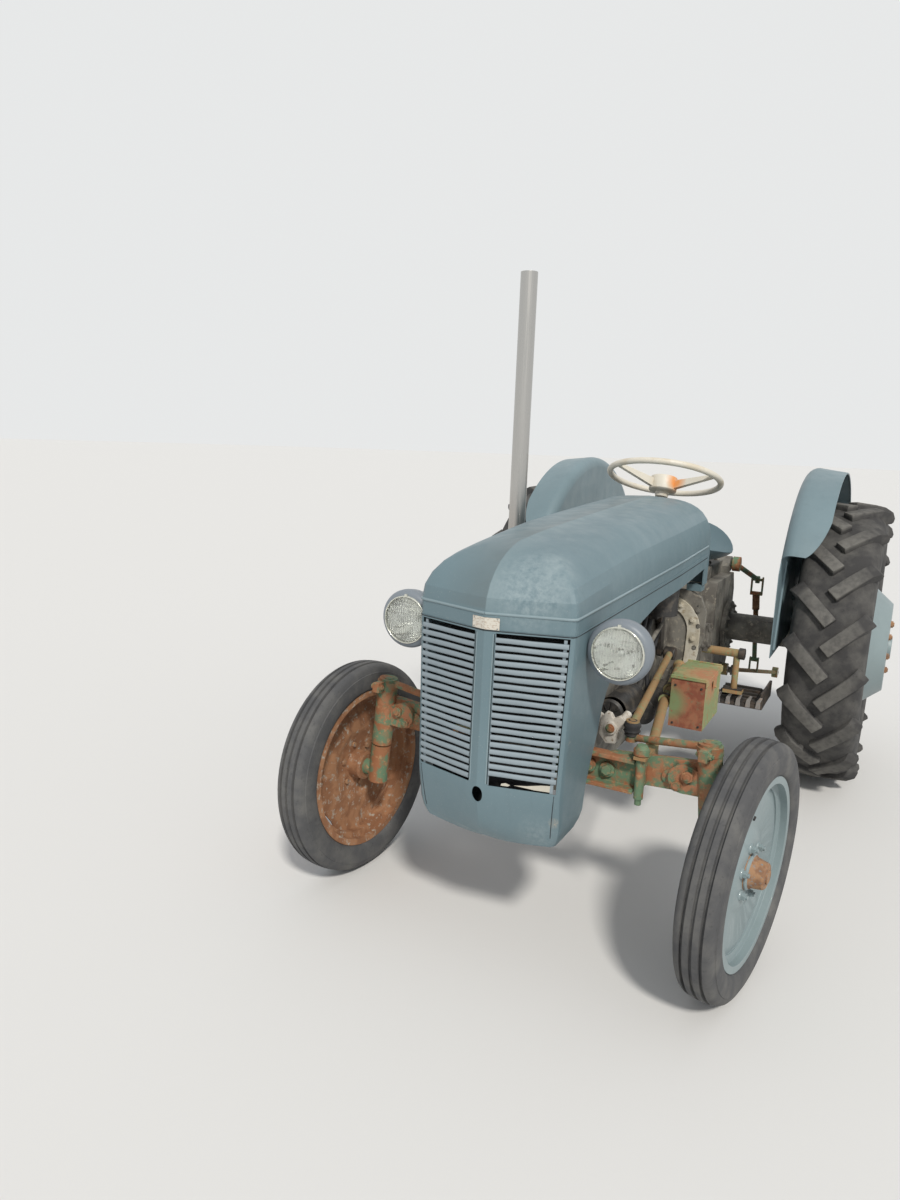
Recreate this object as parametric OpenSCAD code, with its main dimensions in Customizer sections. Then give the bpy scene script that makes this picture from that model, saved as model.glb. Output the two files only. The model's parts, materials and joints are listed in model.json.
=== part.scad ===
// A small utility tractor of the 1940s and 1950s with a V-shaped nose, a tilting bonnet,
// a rear three-point linkage and an upright exhaust stack.
// Millimetres. +X is the tractor's left, -Y is forward, +Z is up. Within the modules Y is
// measured from the front axle; placed() then centres the whole machine over the origin.

/* [Main sizes] */
// Distance between the front and the rear axle
wheelbase = 1778; // [1740:1:1900]
// Distance between the middles of the front tyres
front_track = 1220; // [1200:1:1300]
// Distance between the middles of the rear tyres
rear_track = 1320; // [1300:1:1420]

/* [Front wheels] */
// Outer radius of a front tyre
front_tyre_r = 344; // [330:1:365]
// Section width of a front tyre
front_tyre_w = 108; // [96:1:116]
// Radius of the front rim's flanges
front_rim_r = 257; // [245:1:265]
// Width of the front rim over its flanges
front_rim_w = 88; // [80:1:94]
// Radius of the front hub
front_hub_r = 46; // [42:1:56]
// Rest angle of the left front wheel about its kingpin
left_rest = -8; // [-12:0.5:0]
// Rest angle of the right front wheel about its kingpin
right_rest = -4; // [-12:0.5:0]
// Camber of the front wheels
camber = 1.5; // [0:0.1:2.5]

/* [Rear wheels] */
// Outer radius of a rear tyre over its lugs
rear_tyre_r = 600; // [580:1:620]
// Section width of a rear tyre
rear_tyre_w = 284; // [260:1:290]
// Radius of the rear rim's flanges
rear_rim_r = 378; // [365:1:390]
// Width of the rear rim over its flanges
rear_rim_w = 236; // [220:1:248]
// Radius of the brake drum
drum_r = 168; // [150:1:172]
// Width of the brake drum
drum_w = 110; // [90:1:125]

/* [Front axle] */
// Height of the kingpin's top end
kingpin_top = 662; // [655:1:680]
// Sideways place of the kingpin at the height of the stub axle
kingpin_x = 530; // [520:1:535]
// Inclination of the kingpin
kingpin_lean = 5.8; // [4:0.1:7]
// Radius of the kingpin
kingpin_r = 17; // [14:0.5:20]
// Depth of the axle's centre channel
beam_h = 98; // [90:1:104]
// Front to back width of the axle's centre channel
beam_w = 64; // [56:1:70]
// Height of the axle's centre pivot
axle_z = 529; // [522:1:532]
// Radius of the axle's centre pivot pin
axle_pin_r = 14; // [12:0.5:18]
// Length of a steering arm from its kingpin
steer_arm_l = 233; // [215:1:240]

/* [Steering] */
// Length of a drop arm
drop_arm_l = 203; // [190:1:210]
// Height of the drop arms' shaft
drop_z = 858; // [850:1:866]
// Distance of the drop arms' shaft behind the front axle
drop_y = 840; // [830:1:850]
// Radius of the steering wheel
steering_r = 228; // [200:1:230]
// Radius of the steering wheel's rim section
steering_rim_r = 12; // [10:0.5:15]
// Backward lean of the steering column
column_lean = 19; // [16:0.5:22]
// Length of the steering column to the wheel's hub
column_l = 400; // [380:1:425]
// Radius of a drag link
drag_r = 12; // [10:0.5:14]

/* [Bonnet] */
// Half width of the nose at its shoulders
nose_half = 218; // [214:1:222]
// Half width of the bonnet at its rear end
bonnet_half = 238; // [234:1:244]
// Distance of the nose's edge in front of the axle
nose_reach = 345; // [335:1:352]
// Distance of the bonnet's rear end behind the front axle
bonnet_rear = 1020; // [1010:1:1026]
// Height of the crease at the nose
belt_front = 1000; // [992:1:1008]
// Height of the crease at the rear end
belt_rear = 1065; // [1055:1:1075]
// Height of the bonnet's top behind the nose
top_front = 1162; // [1155:1:1170]
// Height of the bonnet's top at its rear end
top_rear = 1218; // [1210:1:1230]
// Depth of the band below the crease
band = 45; // [35:1:52]
// Thickness of the bonnet's sheet
sheet = 3; // [2:0.5:4]
// Height of the bonnet's front hinge
hinge_z = 470; // [462:1:478]
// Distance of the bonnet's hinge in front of the axle
hinge_reach = 250; // [244:1:256]
// Radius of the bonnet's hinge pin
hinge_r = 8; // [6:0.5:10]
// Number of louvres in each grille panel
louvres = 20; // [12:1:24]
// Radius of a headlamp's rim
lamp_r = 80; // [70:1:84]
// Sideways place of a headlamp
lamp_x = 302; // [298:1:315]
// Height of a headlamp
lamp_z = 916; // [905:1:925]

/* [Engine and drive line] */
// Half width of the cylinder block
block_half = 105; // [95:1:112]
// Length of the cylinder block
block_l = 600; // [580:1:610]
// Height of the block's top face
block_top = 830; // [822:1:836]
// Half width of the gearbox
gearbox_half = 150; // [140:1:160]
// Half width of the rear axle's centre housing
centre_half = 190; // [185:1:192]
// Radius of an axle trumpet
trumpet_r = 62; // [55:1:70]
// Radius of the engine fan
fan_r = 148; // [130:1:150]
// Radius of the exhaust stack
stack_r = 29; // [26:0.5:32]
// Sideways place of the exhaust stack
stack_x = 335; // [325:1:345]
// Height of the exhaust stack's mouth
stack_top = 1960; // [1900:1:2000]
// Radius of the power take-off shaft
pto_r = 14.29; // [14:0.01:17.5]

/* [Body] */
// Radius of a mudguard about the rear axle
guard_r = 733; // [725:1:745]
// Sideways place of a mudguard's inner plate
guard_x = 470; // [462:1:480]
// Sideways place of a mudguard's outer edge
guard_edge = 622; // [600:1:640]
// Thickness of the mudguards' sheet
guard_t = 3; // [2:0.5:4]
// Radius of the pan seat
seat_r = 215; // [200:1:225]
// Height of the pan seat's bottom
seat_z = 905; // [895:1:920]
// Length of the tool box
box_l = 230; // [210:1:250]
// Width of the tool box
box_w = 108; // [98:1:114]
// Height of the tool box
box_h = 168; // [155:1:175]

/* [Linkage] */
// Length of a lower link
lower_l = 800; // [780:1:830]
// Rest angle of the lower links below level
lower_rest = 13; // [12:0.5:14]
// Height of the lower links' front pivots
lower_z = 400; // [392:1:405]
// Radius of the bore in a lower link's ball
ball_bore = 11.2; // [10.5:0.1:14]
// Length of a lift arm
lift_l = 250; // [240:1:260]
// Radius of the pin in a top link's end
top_pin_r = 9.5; // [9:0.1:12.7]

/* [Hidden] */
$fn = 48;
seat = 0.3;                                  // gap left where two pieces meet on curved faces
rear_reach = wheelbase - 28 + lower_l * cos(lower_rest) + 28;
axle_y = (nose_reach + 7 - rear_reach) / 2;  // Y of the front axle in the finished model
ry = wheelbase;                              // Y of the rear axle within the modules
rear_z = rear_tyre_r;
front_z = front_tyre_r;
half_f = front_track / 2;
half_r = rear_track / 2;

paint = [0.50, 0.52, 0.57];
old_green = [0.33, 0.33, 0.25];
cast_iron = [0.47, 0.46, 0.43];
black = [0.10, 0.10, 0.10];
rubber = [0.20, 0.20, 0.20];
bright = [0.75, 0.74, 0.72];
rust = [0.42, 0.26, 0.18];

module placed() translate([0, axle_y, 0]) children();
module box(x, y, z) translate([x[0], y[0], z[0]]) cube([x[1] - x[0], y[1] - y[0], z[1] - z[0]]);
module rod_x(r, x0, x1, y, z) translate([x0, y, z]) rotate([0, 90, 0]) cylinder(r = r, h = x1 - x0);
module rod_y(r, x, y0, y1, z) translate([x, y0, z]) rotate([-90, 0, 0]) cylinder(r = r, h = y1 - y0);
module rod_z(r, x, y, z0, z1) translate([x, y, z0]) cylinder(r = r, h = z1 - z0);
// A round bar between two points
module bar(a, b, r) {
  d = b - a;
  translate(a) rotate([0, acos(d[2] / norm(d)), atan2(d[1], d[0])]) cylinder(r = r, h = norm(d));
}
// A flat bar in a plane across X, from point a to point b as [y, z], with round ends
module strap(x0, x1, a, b, ra, rb) translate([x0, 0, 0]) rotate([90, 0, 90]) linear_extrude(x1 - x0)
  hull() { translate(a) circle(r = ra, $fn = 32); translate(b) circle(r = rb, $fn = 32); }
// A lengthwise prism from a front-view outline of [x, z] points
module along_y(y0, y1) translate([0, y1, 0]) rotate([90, 0, 0]) linear_extrude(y1 - y0) children();
// A side-view outline of [y, z] points made x0 to x1 wide
module along_x(x0, x1) translate([x0, 0, 0]) rotate([90, 0, 90]) linear_extrude(x1 - x0) children();
module both() { children(); mirror([1, 0, 0]) children(); }

// A sheet of even thickness through a grid of points p[row][column]; cells where keep is 0 stay open
function grid_normal(p, i, j) = let (a = p[min(i + 1, len(p) - 1)][j] - p[max(i - 1, 0)][j],
    b = p[i][min(j + 1, len(p[0]) - 1)] - p[i][max(j - 1, 0)], n = cross(a, b)) n / norm(n);
module grid_sheet(p, keep, t) {
  r = len(p); c = len(p[0]); n = r * c;
  inner = [for (i = [0:r - 1], j = [0:c - 1]) p[i][j] - t * grid_normal(p, i, j)];
  outer = [for (i = [0:r - 1], j = [0:c - 1]) p[i][j]];
  function id(i, j) = i * c + j;
  function on(i, j) = i >= 0 && j >= 0 && i < r - 1 && j < c - 1 && keep(i, j);
  faces = [for (i = [0:r - 2], j = [0:c - 2]) if (on(i, j)) each
    let (a = id(i, j), b = id(i + 1, j), d = id(i + 1, j + 1), e = id(i, j + 1)) concat(
      [[a, e, d], [a, d, b], [n + a, n + d, n + e], [n + a, n + b, n + d]],
      on(i - 1, j) ? [] : [[a, n + a, n + e], [a, n + e, e]],
      on(i + 1, j) ? [] : [[b, d, n + d], [b, n + d, n + b]],
      on(i, j - 1) ? [] : [[a, b, n + b], [a, n + b, n + a]],
      on(i, j + 1) ? [] : [[e, n + e, n + d], [e, n + d, d]])];
  polyhedron(points = concat(outer, inner), faces = faces, convexity = 8);
}

// ---- Chassis castings ----
bolster_top = 645;
module front_bolster() color(cast_iron) placed() {
  difference() {
    union() {
      box([-85, 85], [-108, 128], [bolster_top - 55, bolster_top]);
      box([-60, 60], [-80, -beam_w / 2 - 4], [axle_z - 45, bolster_top - 54]);
      box([-60, 60], [beam_w / 2 + 4, 80], [axle_z - 45, bolster_top - 54]);
    }
    rod_y(axle_pin_r + seat, 0, -90, 90, axle_z);
  }
  rod_y(axle_pin_r, 0, -88, 88, axle_z);
  both() difference() {
    union() {
      along_x(54, 70) hull() { translate([-hinge_reach, hinge_z]) circle(r = hinge_r + 10, $fn = 32);
        translate([-112, bolster_top - 70]) square([8, 50]); }
      box([54, 70], [-112, -80], [bolster_top - 70, bolster_top - 20]);
    }
    rod_x(hinge_r + seat, 50, 75, -hinge_reach, hinge_z);
  }
}
module radiator() color(black) placed() {
  box([-180, 180], [-186, -118], [bolster_top + 30, 1010]);
  box([-186, 186], [-192, -112], [1010, 1066]);
  box([-186, 186], [-192, -112], [bolster_top - 12, bolster_top + 30]);
  both() box([60, 84], [-112, -40], [bolster_top, bolster_top + 30]);
  both() box([60, 84], [-112, -104], [bolster_top, bolster_top + 60]);
  rod_z(26, 0, -150, 1066, 1092);
}
module engine_block() color(cast_iron) placed() {
  box([-block_half, block_half], [128, 128 + block_l], [470, block_top]);
  both() for (i = [0:3]) rod_x(22, block_half - 1, block_half + 4, 220 + i * 140, 740);
}
head_y0 = 136;
module cylinder_head() color(cast_iron) placed() {
  box([-block_half + 4, block_half - 4], [head_y0, head_y0 + block_l - 20], [block_top, block_top + 92]);
  box([-66, 66], [head_y0 + 20, head_y0 + block_l - 40], [block_top + 92, block_top + 172]);
  rod_z(24, 0, head_y0 + 60, block_top + 172, block_top + 186);
}
module oil_sump() color(cast_iron) placed() {
  along_y(150, 128 + block_l - 20) polygon([[-98, 470], [98, 470], [98, 440], [76, 352], [-76, 352], [-98, 440]]);
}
bell_y0 = 128 + block_l;
bell_y1 = 1030;
flange_top = 872;
module bell_housing() color(cast_iron) placed() {
  along_y(bell_y0, bell_y1) polygon([[-110, 790], [110, 790], [115, 700], [115, 480], [80, 390], [-80, 390], [-115, 480], [-115, 700]]);
  difference() {
    along_y(bell_y1, bell_y1 + 22) polygon([[-180, flange_top], [180, flange_top], [225, 850], [248, 800], [248, 690],
      [200, 560], [150, 400], [-150, 400], [-200, 560], [-248, 690], [-248, 800], [-225, 850]]);
    both() rod_y(9, 222, bell_y1 - 5, bell_y1 + 30, 812);
  }
}
gear_y1 = 1500;
module gearbox() color(cast_iron) placed() {
  difference() {
    along_y(bell_y1 + 22, gear_y1) polygon([[-gearbox_half + 20, 800], [gearbox_half - 20, 800], [gearbox_half, 760],
      [gearbox_half, 440], [gearbox_half - 40, 380], [-gearbox_half + 40, 380], [-gearbox_half, 440], [-gearbox_half, 760]]);
    both() rod_x(16 + seat, gearbox_half - 40, gearbox_half + 1, 1100, 640);
  }
}
module centre_housing() color(cast_iron) placed() {
  difference() {
    union() {
      along_x(-centre_half, centre_half) polygon([[gear_y1, 800], [gear_y1, 380], [ry - 150, 350], [ry + 90, 380], [ry + 130, 440], [ry + 130, 760], [ry + 90, 836], [ry - 260, 836]]);
      both() rod_x(30, centre_half - 2, centre_half + 8, link_y, lower_z);
    }
    rod_y(pto_r + 9, 0, ry + 60, ry + 140, 520);
  }
  both() rod_x(lower_pin, centre_half + 8, centre_half + 50, link_y, lower_z);
  both() rod_x(lower_pin + 10, centre_half + 50, centre_half + 56, link_y, lower_z);
}
link_y = ry - 28;
lower_pin = 14;
drum_x0 = half_r - 38;                       // inboard face of the brake drum
module axle_trumpets() color(cast_iron) placed() both() {
  rod_x(115, centre_half, centre_half + 22, ry, rear_z);
  rod_x(trumpet_r, centre_half + 22, drum_x0 - 28, ry, rear_z);
  rod_x(drum_r + 4, drum_x0 - 28, drum_x0 - 6, ry, rear_z);
  rod_x(26 - seat, drum_x0 - 7, drum_x0 + 26, ry, rear_z);
  // Bracket that the mudguard's plate is bolted to
  box([guard_x - 12, guard_x], [ry - 110, ry + 110], [rear_z + trumpet_r - 14, rear_z + 210]);
}
shaft_y = ry + 102;
shaft_z = 873;
shaft_r = 18;
module lift_cover() color(cast_iron) placed() {
  difference() {
    union() {
      along_x(-140, 140) polygon([[gear_y1 + 20, 836.3], [ry + 88, 836.3], [ry + 88, 890], [gear_y1 + 60, 890]]);
      along_x(-172, 172) hull() { translate([shaft_y, shaft_z]) circle(r = 34, $fn = 32); translate([ry + 40, 836.3]) square([40, 30]); }
      both() box([14, 26], [ry + 120, ry + 190], [840, 900]);
    }
    rod_x(shaft_r + seat, -180, 180, shaft_y, shaft_z);
    rod_x(top_pin_r + seat, -40, 40, ry + 172, 872);
  }
}
module pto_shaft() color(bright) placed() {
  rod_y(pto_r + 4, 0, ry + 60, ry + 128, 520);
  rod_y(pto_r, 0, ry + 128, ry + 215, 520);
}

// ---- Front axle ----
beam_x = 312;
web_y = 8;                                   // back of the channel's web
end_x0 = 306;
module front_axle() color(old_green) placed() {
  difference() {
    union() {
      box([-beam_x, beam_x], [-beam_w / 2, web_y], [axle_z - beam_h / 2, axle_z + beam_h / 2]);
      box([-50, 50], [-beam_w / 2, beam_w / 2], [axle_z - beam_h / 2, axle_z + beam_h / 2]);
    }
    both() box([50, beam_x + 1], [-beam_w / 2 - 1, web_y - 9], [axle_z - beam_h / 2 + 12, axle_z + beam_h / 2 - 12]);
    rod_y(axle_pin_r + seat, 0, -50, 50, axle_z);
  }
}
kp = [kingpin_x, 0, front_z];
kp_dir = [-sin(kingpin_lean), 0, cos(kingpin_lean)];
function kp_at(z) = kp + kp_dir * (z - kp[2]) / kp_dir[2];
sleeve_z0 = 440;
sleeve_z1 = 628;
module axle_ends() color(old_green) placed() both() {
  difference() {
    union() {
      // The flat arm bolted behind the centre channel's web and the sleeve round the kingpin
      along_y(web_y, 31) hull() { translate([end_x0 - 56, axle_z + 6]) circle(r = 40, $fn = 32); translate([470, 552]) circle(r = 44, $fn = 32); }
      bar(kp_at(sleeve_z0), kp_at(sleeve_z1), kingpin_r + 15);
      along_y(-12, 14) hull() { translate([440, 548]) circle(r = 40, $fn = 32); translate([488, 540]) circle(r = 30, $fn = 32); }
    }
    bar(kp_at(sleeve_z0 - 20), kp_at(sleeve_z1 + 20), kingpin_r + seat);
  }
  // Stud of the radius rod in front of the beam
  rod_z(13, 328, -22, 470, 597);
  box([316, 340], [-14, web_y], [505, 560]);
}
module radius_rods() color(old_green) placed() both() {
  difference() {
    union() {
      bar([330, 70, 583], [250, 500, 590], 15);
      bar([250, 500, 590], [192, 900, 592], 14);
      bar([192, 900, 592], [172, 1000, 582], 13);
      along_y(-44, 84) translate([312, 585.5]) square([34, 8.5]);
      box([314, 346], [33, 84], [564, 593]);
    }
    rod_z(13 + seat, 328, -22, 440, 640);
  }
  translate([172, bell_y1 - 22 - seat, 581]) sphere(r = 22);
}

// ---- Steering ----
module steering_box() color(cast_iron) placed() {
  difference() {
    union() {
      box([-96, 96], [drop_y - 66, drop_y + 110], [790, 905]);
      both() rod_x(34, 90, 116, drop_y, drop_z);
    }
    rod_x(16 + seat, -140, 140, drop_y, drop_z);
  }
  translate([0, column_y, column_z]) rotate([-column_lean, 0, 0]) { cylinder(r = 19, h = column_l - 60); cylinder(r = 8, h = column_l + 10); }
  box([-40, 40], [drop_y + 100, column_y + 36], [flange_top, 905]);
}
column_y = 1080;
column_z = 880;
hub_at = [0, column_y + column_l * sin(column_lean), column_z + column_l * cos(column_lean)];
module on_column() translate(hub_at) rotate([-column_lean, 0, 0]) children();
module steering_wheel() color([0.80, 0.77, 0.70]) placed() on_column() {
  translate([0, 0, 0]) rotate_extrude($fn = 96) translate([steering_r - steering_rim_r, 22]) circle(r = steering_rim_r, $fn = 20);
  rotate_extrude() polygon([[8.3, -58], [24, -58], [24, -20], [52, -10], [50, 4], [30, 12], [8.3, 14]]);
  for (a = [90, 210, 330]) rotate([0, 0, a]) bar([46, 0, -4], [steering_r - steering_rim_r - 8, 0, 20], 8);
}
// A point of the knuckle after it has turned by angle a about the kingpin
function turned(p, a) = let (d = p - kp, v = kp_dir) kp + d * cos(a) + cross(v, d) * sin(a) + v * (v * d) * (1 - cos(a));
function rest_turn(s) = s > 0 ? left_rest : -right_rest;
function link_front(s) = turned(arm_end, rest_turn(s)) + [0, 0, 38];
function drop_tilt(s) = asin((link_front(s)[1] - arm_end[1]) / drop_arm_l);
function link_rear(s) = [166, drop_y + drop_arm_l * sin(drop_tilt(s)), drop_z - drop_arm_l * cos(drop_tilt(s))];
module drop_arm(s) color(old_green) placed() mirror([s > 0 ? 0 : 1, 0, 0]) {
  b = link_rear(s);
  along_x(119, 137) hull() { translate([drop_y, drop_z]) circle(r = 30, $fn = 32); translate([b[1], b[2]]) circle(r = 17, $fn = 32); }
  rod_x(16, 60, 120, drop_y, drop_z);
  rod_x(9, 136, 166 + 4, b[1], b[2]);
}
module drop_arm_left() drop_arm(1);
module drop_arm_right() drop_arm(-1);
module drag_link(s) color(old_green) placed() mirror([s > 0 ? 0 : 1, 0, 0]) {
  a = link_rear(s); b = link_front(s);
  d = b - a;
  difference() {
    union() {
      bar(a + d * 0.02, b - d * 0.02, drag_r);
      rod_x(19, a[0] - 20, a[0] + 16, a[1], a[2]);
      rod_z(19, b[0], b[1], b[2] - 16, b[2] + 15);
    }
    rod_x(9 + seat, a[0] - 30, a[0] + 5, a[1], a[2]);
  }
}
module drag_link_left() drag_link(1);
module drag_link_right() drag_link(-1);
// Turns a piece drawn for straight ahead to its rest angle about the kingpin
module steered(a) translate(kp) rotate(a = a, v = kp_dir) translate(-kp) children();
arm_end = [kp_at(649)[0] - steer_arm_l, 32, 603];
module knuckle_body() {
  bar(kp_at(sleeve_z0 - 110), kp_at(kingpin_top), kingpin_r);
  difference() {
    bar(kp_at(front_z - 34), kp_at(sleeve_z0 - 5), kingpin_r + 14);
    bar(kp_at(front_z - 60), kp_at(sleeve_z0 + 10), kingpin_r - 1);
  }
  translate([half_f, 0, front_z]) rotate([0, camber, 0]) rod_x(15, -half_f + kingpin_x + 10, 40, 0, 0);
  translate([half_f, 0, front_z]) rotate([0, camber, 0]) rod_x(26, -half_f + kingpin_x + 20, -32 - seat, 0, 0);
  // Steering arm, clamped on the kingpin's top
  difference() {
    union() {
      bar(kp_at(sleeve_z1 + 5.5), kp_at(kingpin_top - 2), kingpin_r + 12);
      bar(kp_at(646) - [20, 0, 0], [arm_end[0] + 60, 20, 617], 11);
      bar([arm_end[0] + 60, 20, 617], arm_end + [8, 0, 4], 10);
      rod_z(17, arm_end[0], arm_end[1], 596, 618);
    }
    bar(kp_at(600), kp_at(680), kingpin_r - 1);
  }
}
module knuckle_left() color(old_green) placed() steered(left_rest) knuckle_body();
module knuckle_right() color(old_green) placed() mirror([1, 0, 0]) steered(-right_rest) knuckle_body();

// ---- Wheels, drawn about X with +X outboard ----
module front_place(s) placed() mirror([s > 0 ? 0 : 1, 0, 0]) steered(s > 0 ? left_rest : -right_rest)
  translate([half_f, 0, front_z]) rotate([0, camber, 0]) rotate([0, 90, 0]) children();
module front_wheel() {
  w = front_rim_w / 2; r = front_rim_r; h = front_hub_r;
  rotate_extrude($fn = 96) polygon([[r, -w], [r, -w + 4], [r - 16, -w + 5], [r - 16, -w + 22], [r - 33, -w + 28], [r - 33, w - 28],
    [r - 16, w - 22], [r - 16, w - 5], [r, w - 4], [r, w], [r - 20, w], [r - 20, w - 20], [r - 37, w - 25], [r - 37, 14],
    [r - 60, 20], [120, 8], [88, 20], [h + 4, 20], [h + 4, 26], [h - 6, 34], [34, 62], [30, 66], [0, 66], [0, 42], [15 + seat, 42], [15 + seat, -32],
    [h - 8, -32], [h, -26], [h, 14], [86, 14], [118, 2], [r - 60, 14], [r - 37, 8], [r - 37, -w + 25], [r - 20, -w + 20], [r - 20, -w]]);
}
module front_tyre() {
  w = front_tyre_w / 2; b = front_rim_r + seat; R = front_tyre_r;
  rotate_extrude($fn = 96) polygon([[b, -front_rim_w / 2 + 1], [b + 10, -w + 4], [b + 34, -w], [R - 32, -w + 4], [R - 14, -w + 12], [R - 9, -w + 26],
    [R - 9, -14], [R, -8], [R, 8], [R - 9, 14], [R - 9, w - 26], [R - 14, w - 12], [R - 32, w - 4], [b + 34, w], [b + 10, w - 4], [b, front_rim_w / 2 - 1]]);
}
module front_wheel_left() color(paint) front_place(1) front_wheel();
module front_wheel_right() color(rust) front_place(-1) front_wheel();
module front_tyre_left() color(rubber) front_place(1) front_tyre();
module front_tyre_right() color(rubber) front_place(-1) front_tyre();
module rear_place(s) placed() mirror([s > 0 ? 0 : 1, 0, 0]) translate([half_r, ry, rear_z]) rotate([0, 90, 0]) children();
disc_out = 200;
module rear_wheel() {
  w = rear_rim_w / 2; r = rear_rim_r; d = drum_x0 - half_r;
  rotate_extrude($fn = 96) polygon([[r, -w], [r, -w + 5], [r - 22, -w + 7], [r - 22, -w + 40], [r - 52, -w + 66], [r - 52, w - 66],
    [r - 22, w - 40], [r - 22, w - 7], [r, w - 5], [r, w], [r - 28, w], [r - 28, w - 38], [r - 58, w - 62], [r - 58, 40],
    [184, disc_out], [50, disc_out], [46, disc_out + 14], [0, disc_out + 14], [0, d + 30], [26, d + 30], [26, d], [drum_r, d], [drum_r, d + drum_w], [60, d + drum_w],
    [44, disc_out - 40], [88, disc_out - 22], [120, disc_out - 20], [120, disc_out - 8], [180, disc_out - 8], [r - 60, 30], [r - 58, -w + 62], [r - 28, -w + 38], [r - 28, -w]]);
}
module rear_tyre() {
  w = rear_tyre_w / 2; b = rear_rim_r + seat; R = rear_tyre_r;
  rotate_extrude($fn = 96) polygon([[b, -rear_rim_w / 2 + 1], [b + 40, -w + 8], [b + 86, -w], [R - 60, -w + 4], [R - 16, -w + 12], [R - 6, -w + 50], [R, -30],
    [R, 30], [R - 6, w - 50], [R - 16, w - 12], [R - 60, w - 4], [b + 86, w], [b + 40, w - 8], [b, rear_rim_w / 2 - 1]]);
}
module rear_wheel_left() color(paint) rear_place(1) rear_wheel();
module rear_wheel_right() color(paint) rear_place(-1) rear_wheel();
module rear_tyre_left() color(rubber) rear_place(1) rear_tyre();
module rear_tyre_right() color(rubber) rear_place(-1) rear_tyre();

// ---- Bonnet and nose: an outline in plan from the edge of the nose to the rear end ----
nose_w_at = nose_half;
shoulder_y = -nose_reach + 57;
side_y = [-262, -232, -200, -159, -143, -127, -116, -94, -65, -45, -20, 30, 100, 165, 230, 315, 400, 530, 660, 780, 900];
facet = [0, 0.13, 0.3, 0.47, 0.64, 0.8, 0.945];
// Outline points as [x, y]: the flat facet, the rounded shoulder, the side
outline = concat([for (f = facet) [nose_half * f, -nose_reach + 55 * f]],
  [[nose_half - 3, shoulder_y + 3], [nose_half, shoulder_y + 12]],
  [for (y = side_y) [lerp(nose_half, bonnet_half, min(1, (y - shoulder_y) / 900)), y]], [[bonnet_half, bonnet_rear]]);
function lerp(a, b, f) = a + (b - a) * f;
function along(y) = max(0, min(1, (y + nose_reach) / (bonnet_rear + nose_reach)));
function belt(y) = lerp(belt_front, belt_rear, along(y));
function seam(y) = belt(y) - band;
dome_y = -nose_reach + 245;
function spine(y) = [0, y < shoulder_y + 12 ? dome_y : lerp(dome_y, bonnet_rear, (y - shoulder_y - 12) / (bonnet_rear - shoulder_y - 12))];
function top(y) = lerp(top_front, top_rear, pow(max(0, (y - dome_y) / (bonnet_rear - dome_y)), 0.8));
function power(y) = lerp(2, 2.8, min(1, max(0, (y - shoulder_y) / 500)));
arc = [0, 12, 24, 36, 46, 55, 63, 70, 76, 81, 85, 87.5];
function dome_point(q, a) = let (s = spine(q[1]), e = 2 / power(q[1]), g = 1 - pow(cos(a), e), h = pow(sin(a), e),
  b = belt(q[1])) [lerp(q[0], s[0], g), lerp(q[1], s[1], g), b + (top(s[1]) - b) * h];
function mirrored(v) = [for (q = v) [-q[0], q[1], q[2]]];
function reversed(v) = [for (i = [len(v) - 1:-1:0]) v[i]];
no = len(outline);
// One rib over the bonnet at outline point q, from the left seam over the top to the right seam
function rib(q) = let (l = concat([[q[0] - 1.5, q[1] + (q[1] < shoulder_y + 2 ? 1.5 : 0), seam(q[1])], [q[0] - 0.8, q[1], belt(q[1]) - 8]], [for (a = arc) dome_point(q, a)]))
  concat(l, reversed(mirrored(l)));
// The rows go round the nose instead, so each keeps its distance from the crease
function ring(k) = let (l = [for (i = [no - 1:-1:0]) rib(outline[i])[k]]) concat(l, [for (i = [1:no - 1]) let (p = rib(outline[i])[k]) [-p[0], p[1], p[2]]]);
module bonnet_top() color(paint) placed() {
  n = len(arc) + 2;
  outer = [for (k = [0:n - 1]) ring(k)];
  dome(outer, sheet);
}
// A closed sheet from rings that run round the nose, joined over the middle line
module dome(p, t) {
  r = len(p); c = len(p[0]); n = r * c; m = (c - 1) / 2;
  inner = [for (i = [0:r - 1], j = [0:c - 1]) p[i][j] - t * (j == m && i > 0 ? [0, -0.6, 0.8] : j == m ? [0, -1, 0] : grid_normal(p, i, j))];
  outer = [for (i = [0:r - 1], j = [0:c - 1]) p[i][j]];
  function id(i, j) = i * c + j;
  cells = [for (i = [0:r - 2], j = [0:c - 2]) each let (a = id(i, j), b = id(i + 1, j), d = id(i + 1, j + 1), e = id(i, j + 1))
    [[a, e, d], [a, d, b], [n + a, n + d, n + e], [n + a, n + b, n + d]]];
  cap = [for (k = [1:m]) each let (a = id(r - 1, m - k), b = id(r - 1, m - k + 1), d = id(r - 1, m + k - 1), e = id(r - 1, m + k))
    k == 1 ? [[a, b, e], [n + a, n + e, n + b]] : [[a, b, d], [a, d, e], [n + a, n + d, n + b], [n + a, n + e, n + d]]];
  rim = [for (j = [0:c - 2]) each let (a = id(0, j), e = id(0, j + 1)) [[a, n + a, n + e], [a, n + e, e]]];
  ends = [for (i = [0:r - 2]) each let (a = id(i, 0), b = id(i + 1, 0), d = id(i, c - 1), e = id(i + 1, c - 1))
    [[a, b, n + b], [a, n + b, n + a], [d, n + e, e], [d, n + d, n + e]]];
  last = [for (g = [0]) each let (a = id(r - 1, 0), e = id(r - 1, c - 1)) [[a, e, n + e], [a, n + e, n + a]]];
  polyhedron(points = concat(outer, inner), faces = concat(cells, cap, rim, ends, last), convexity = 8);
}
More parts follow.
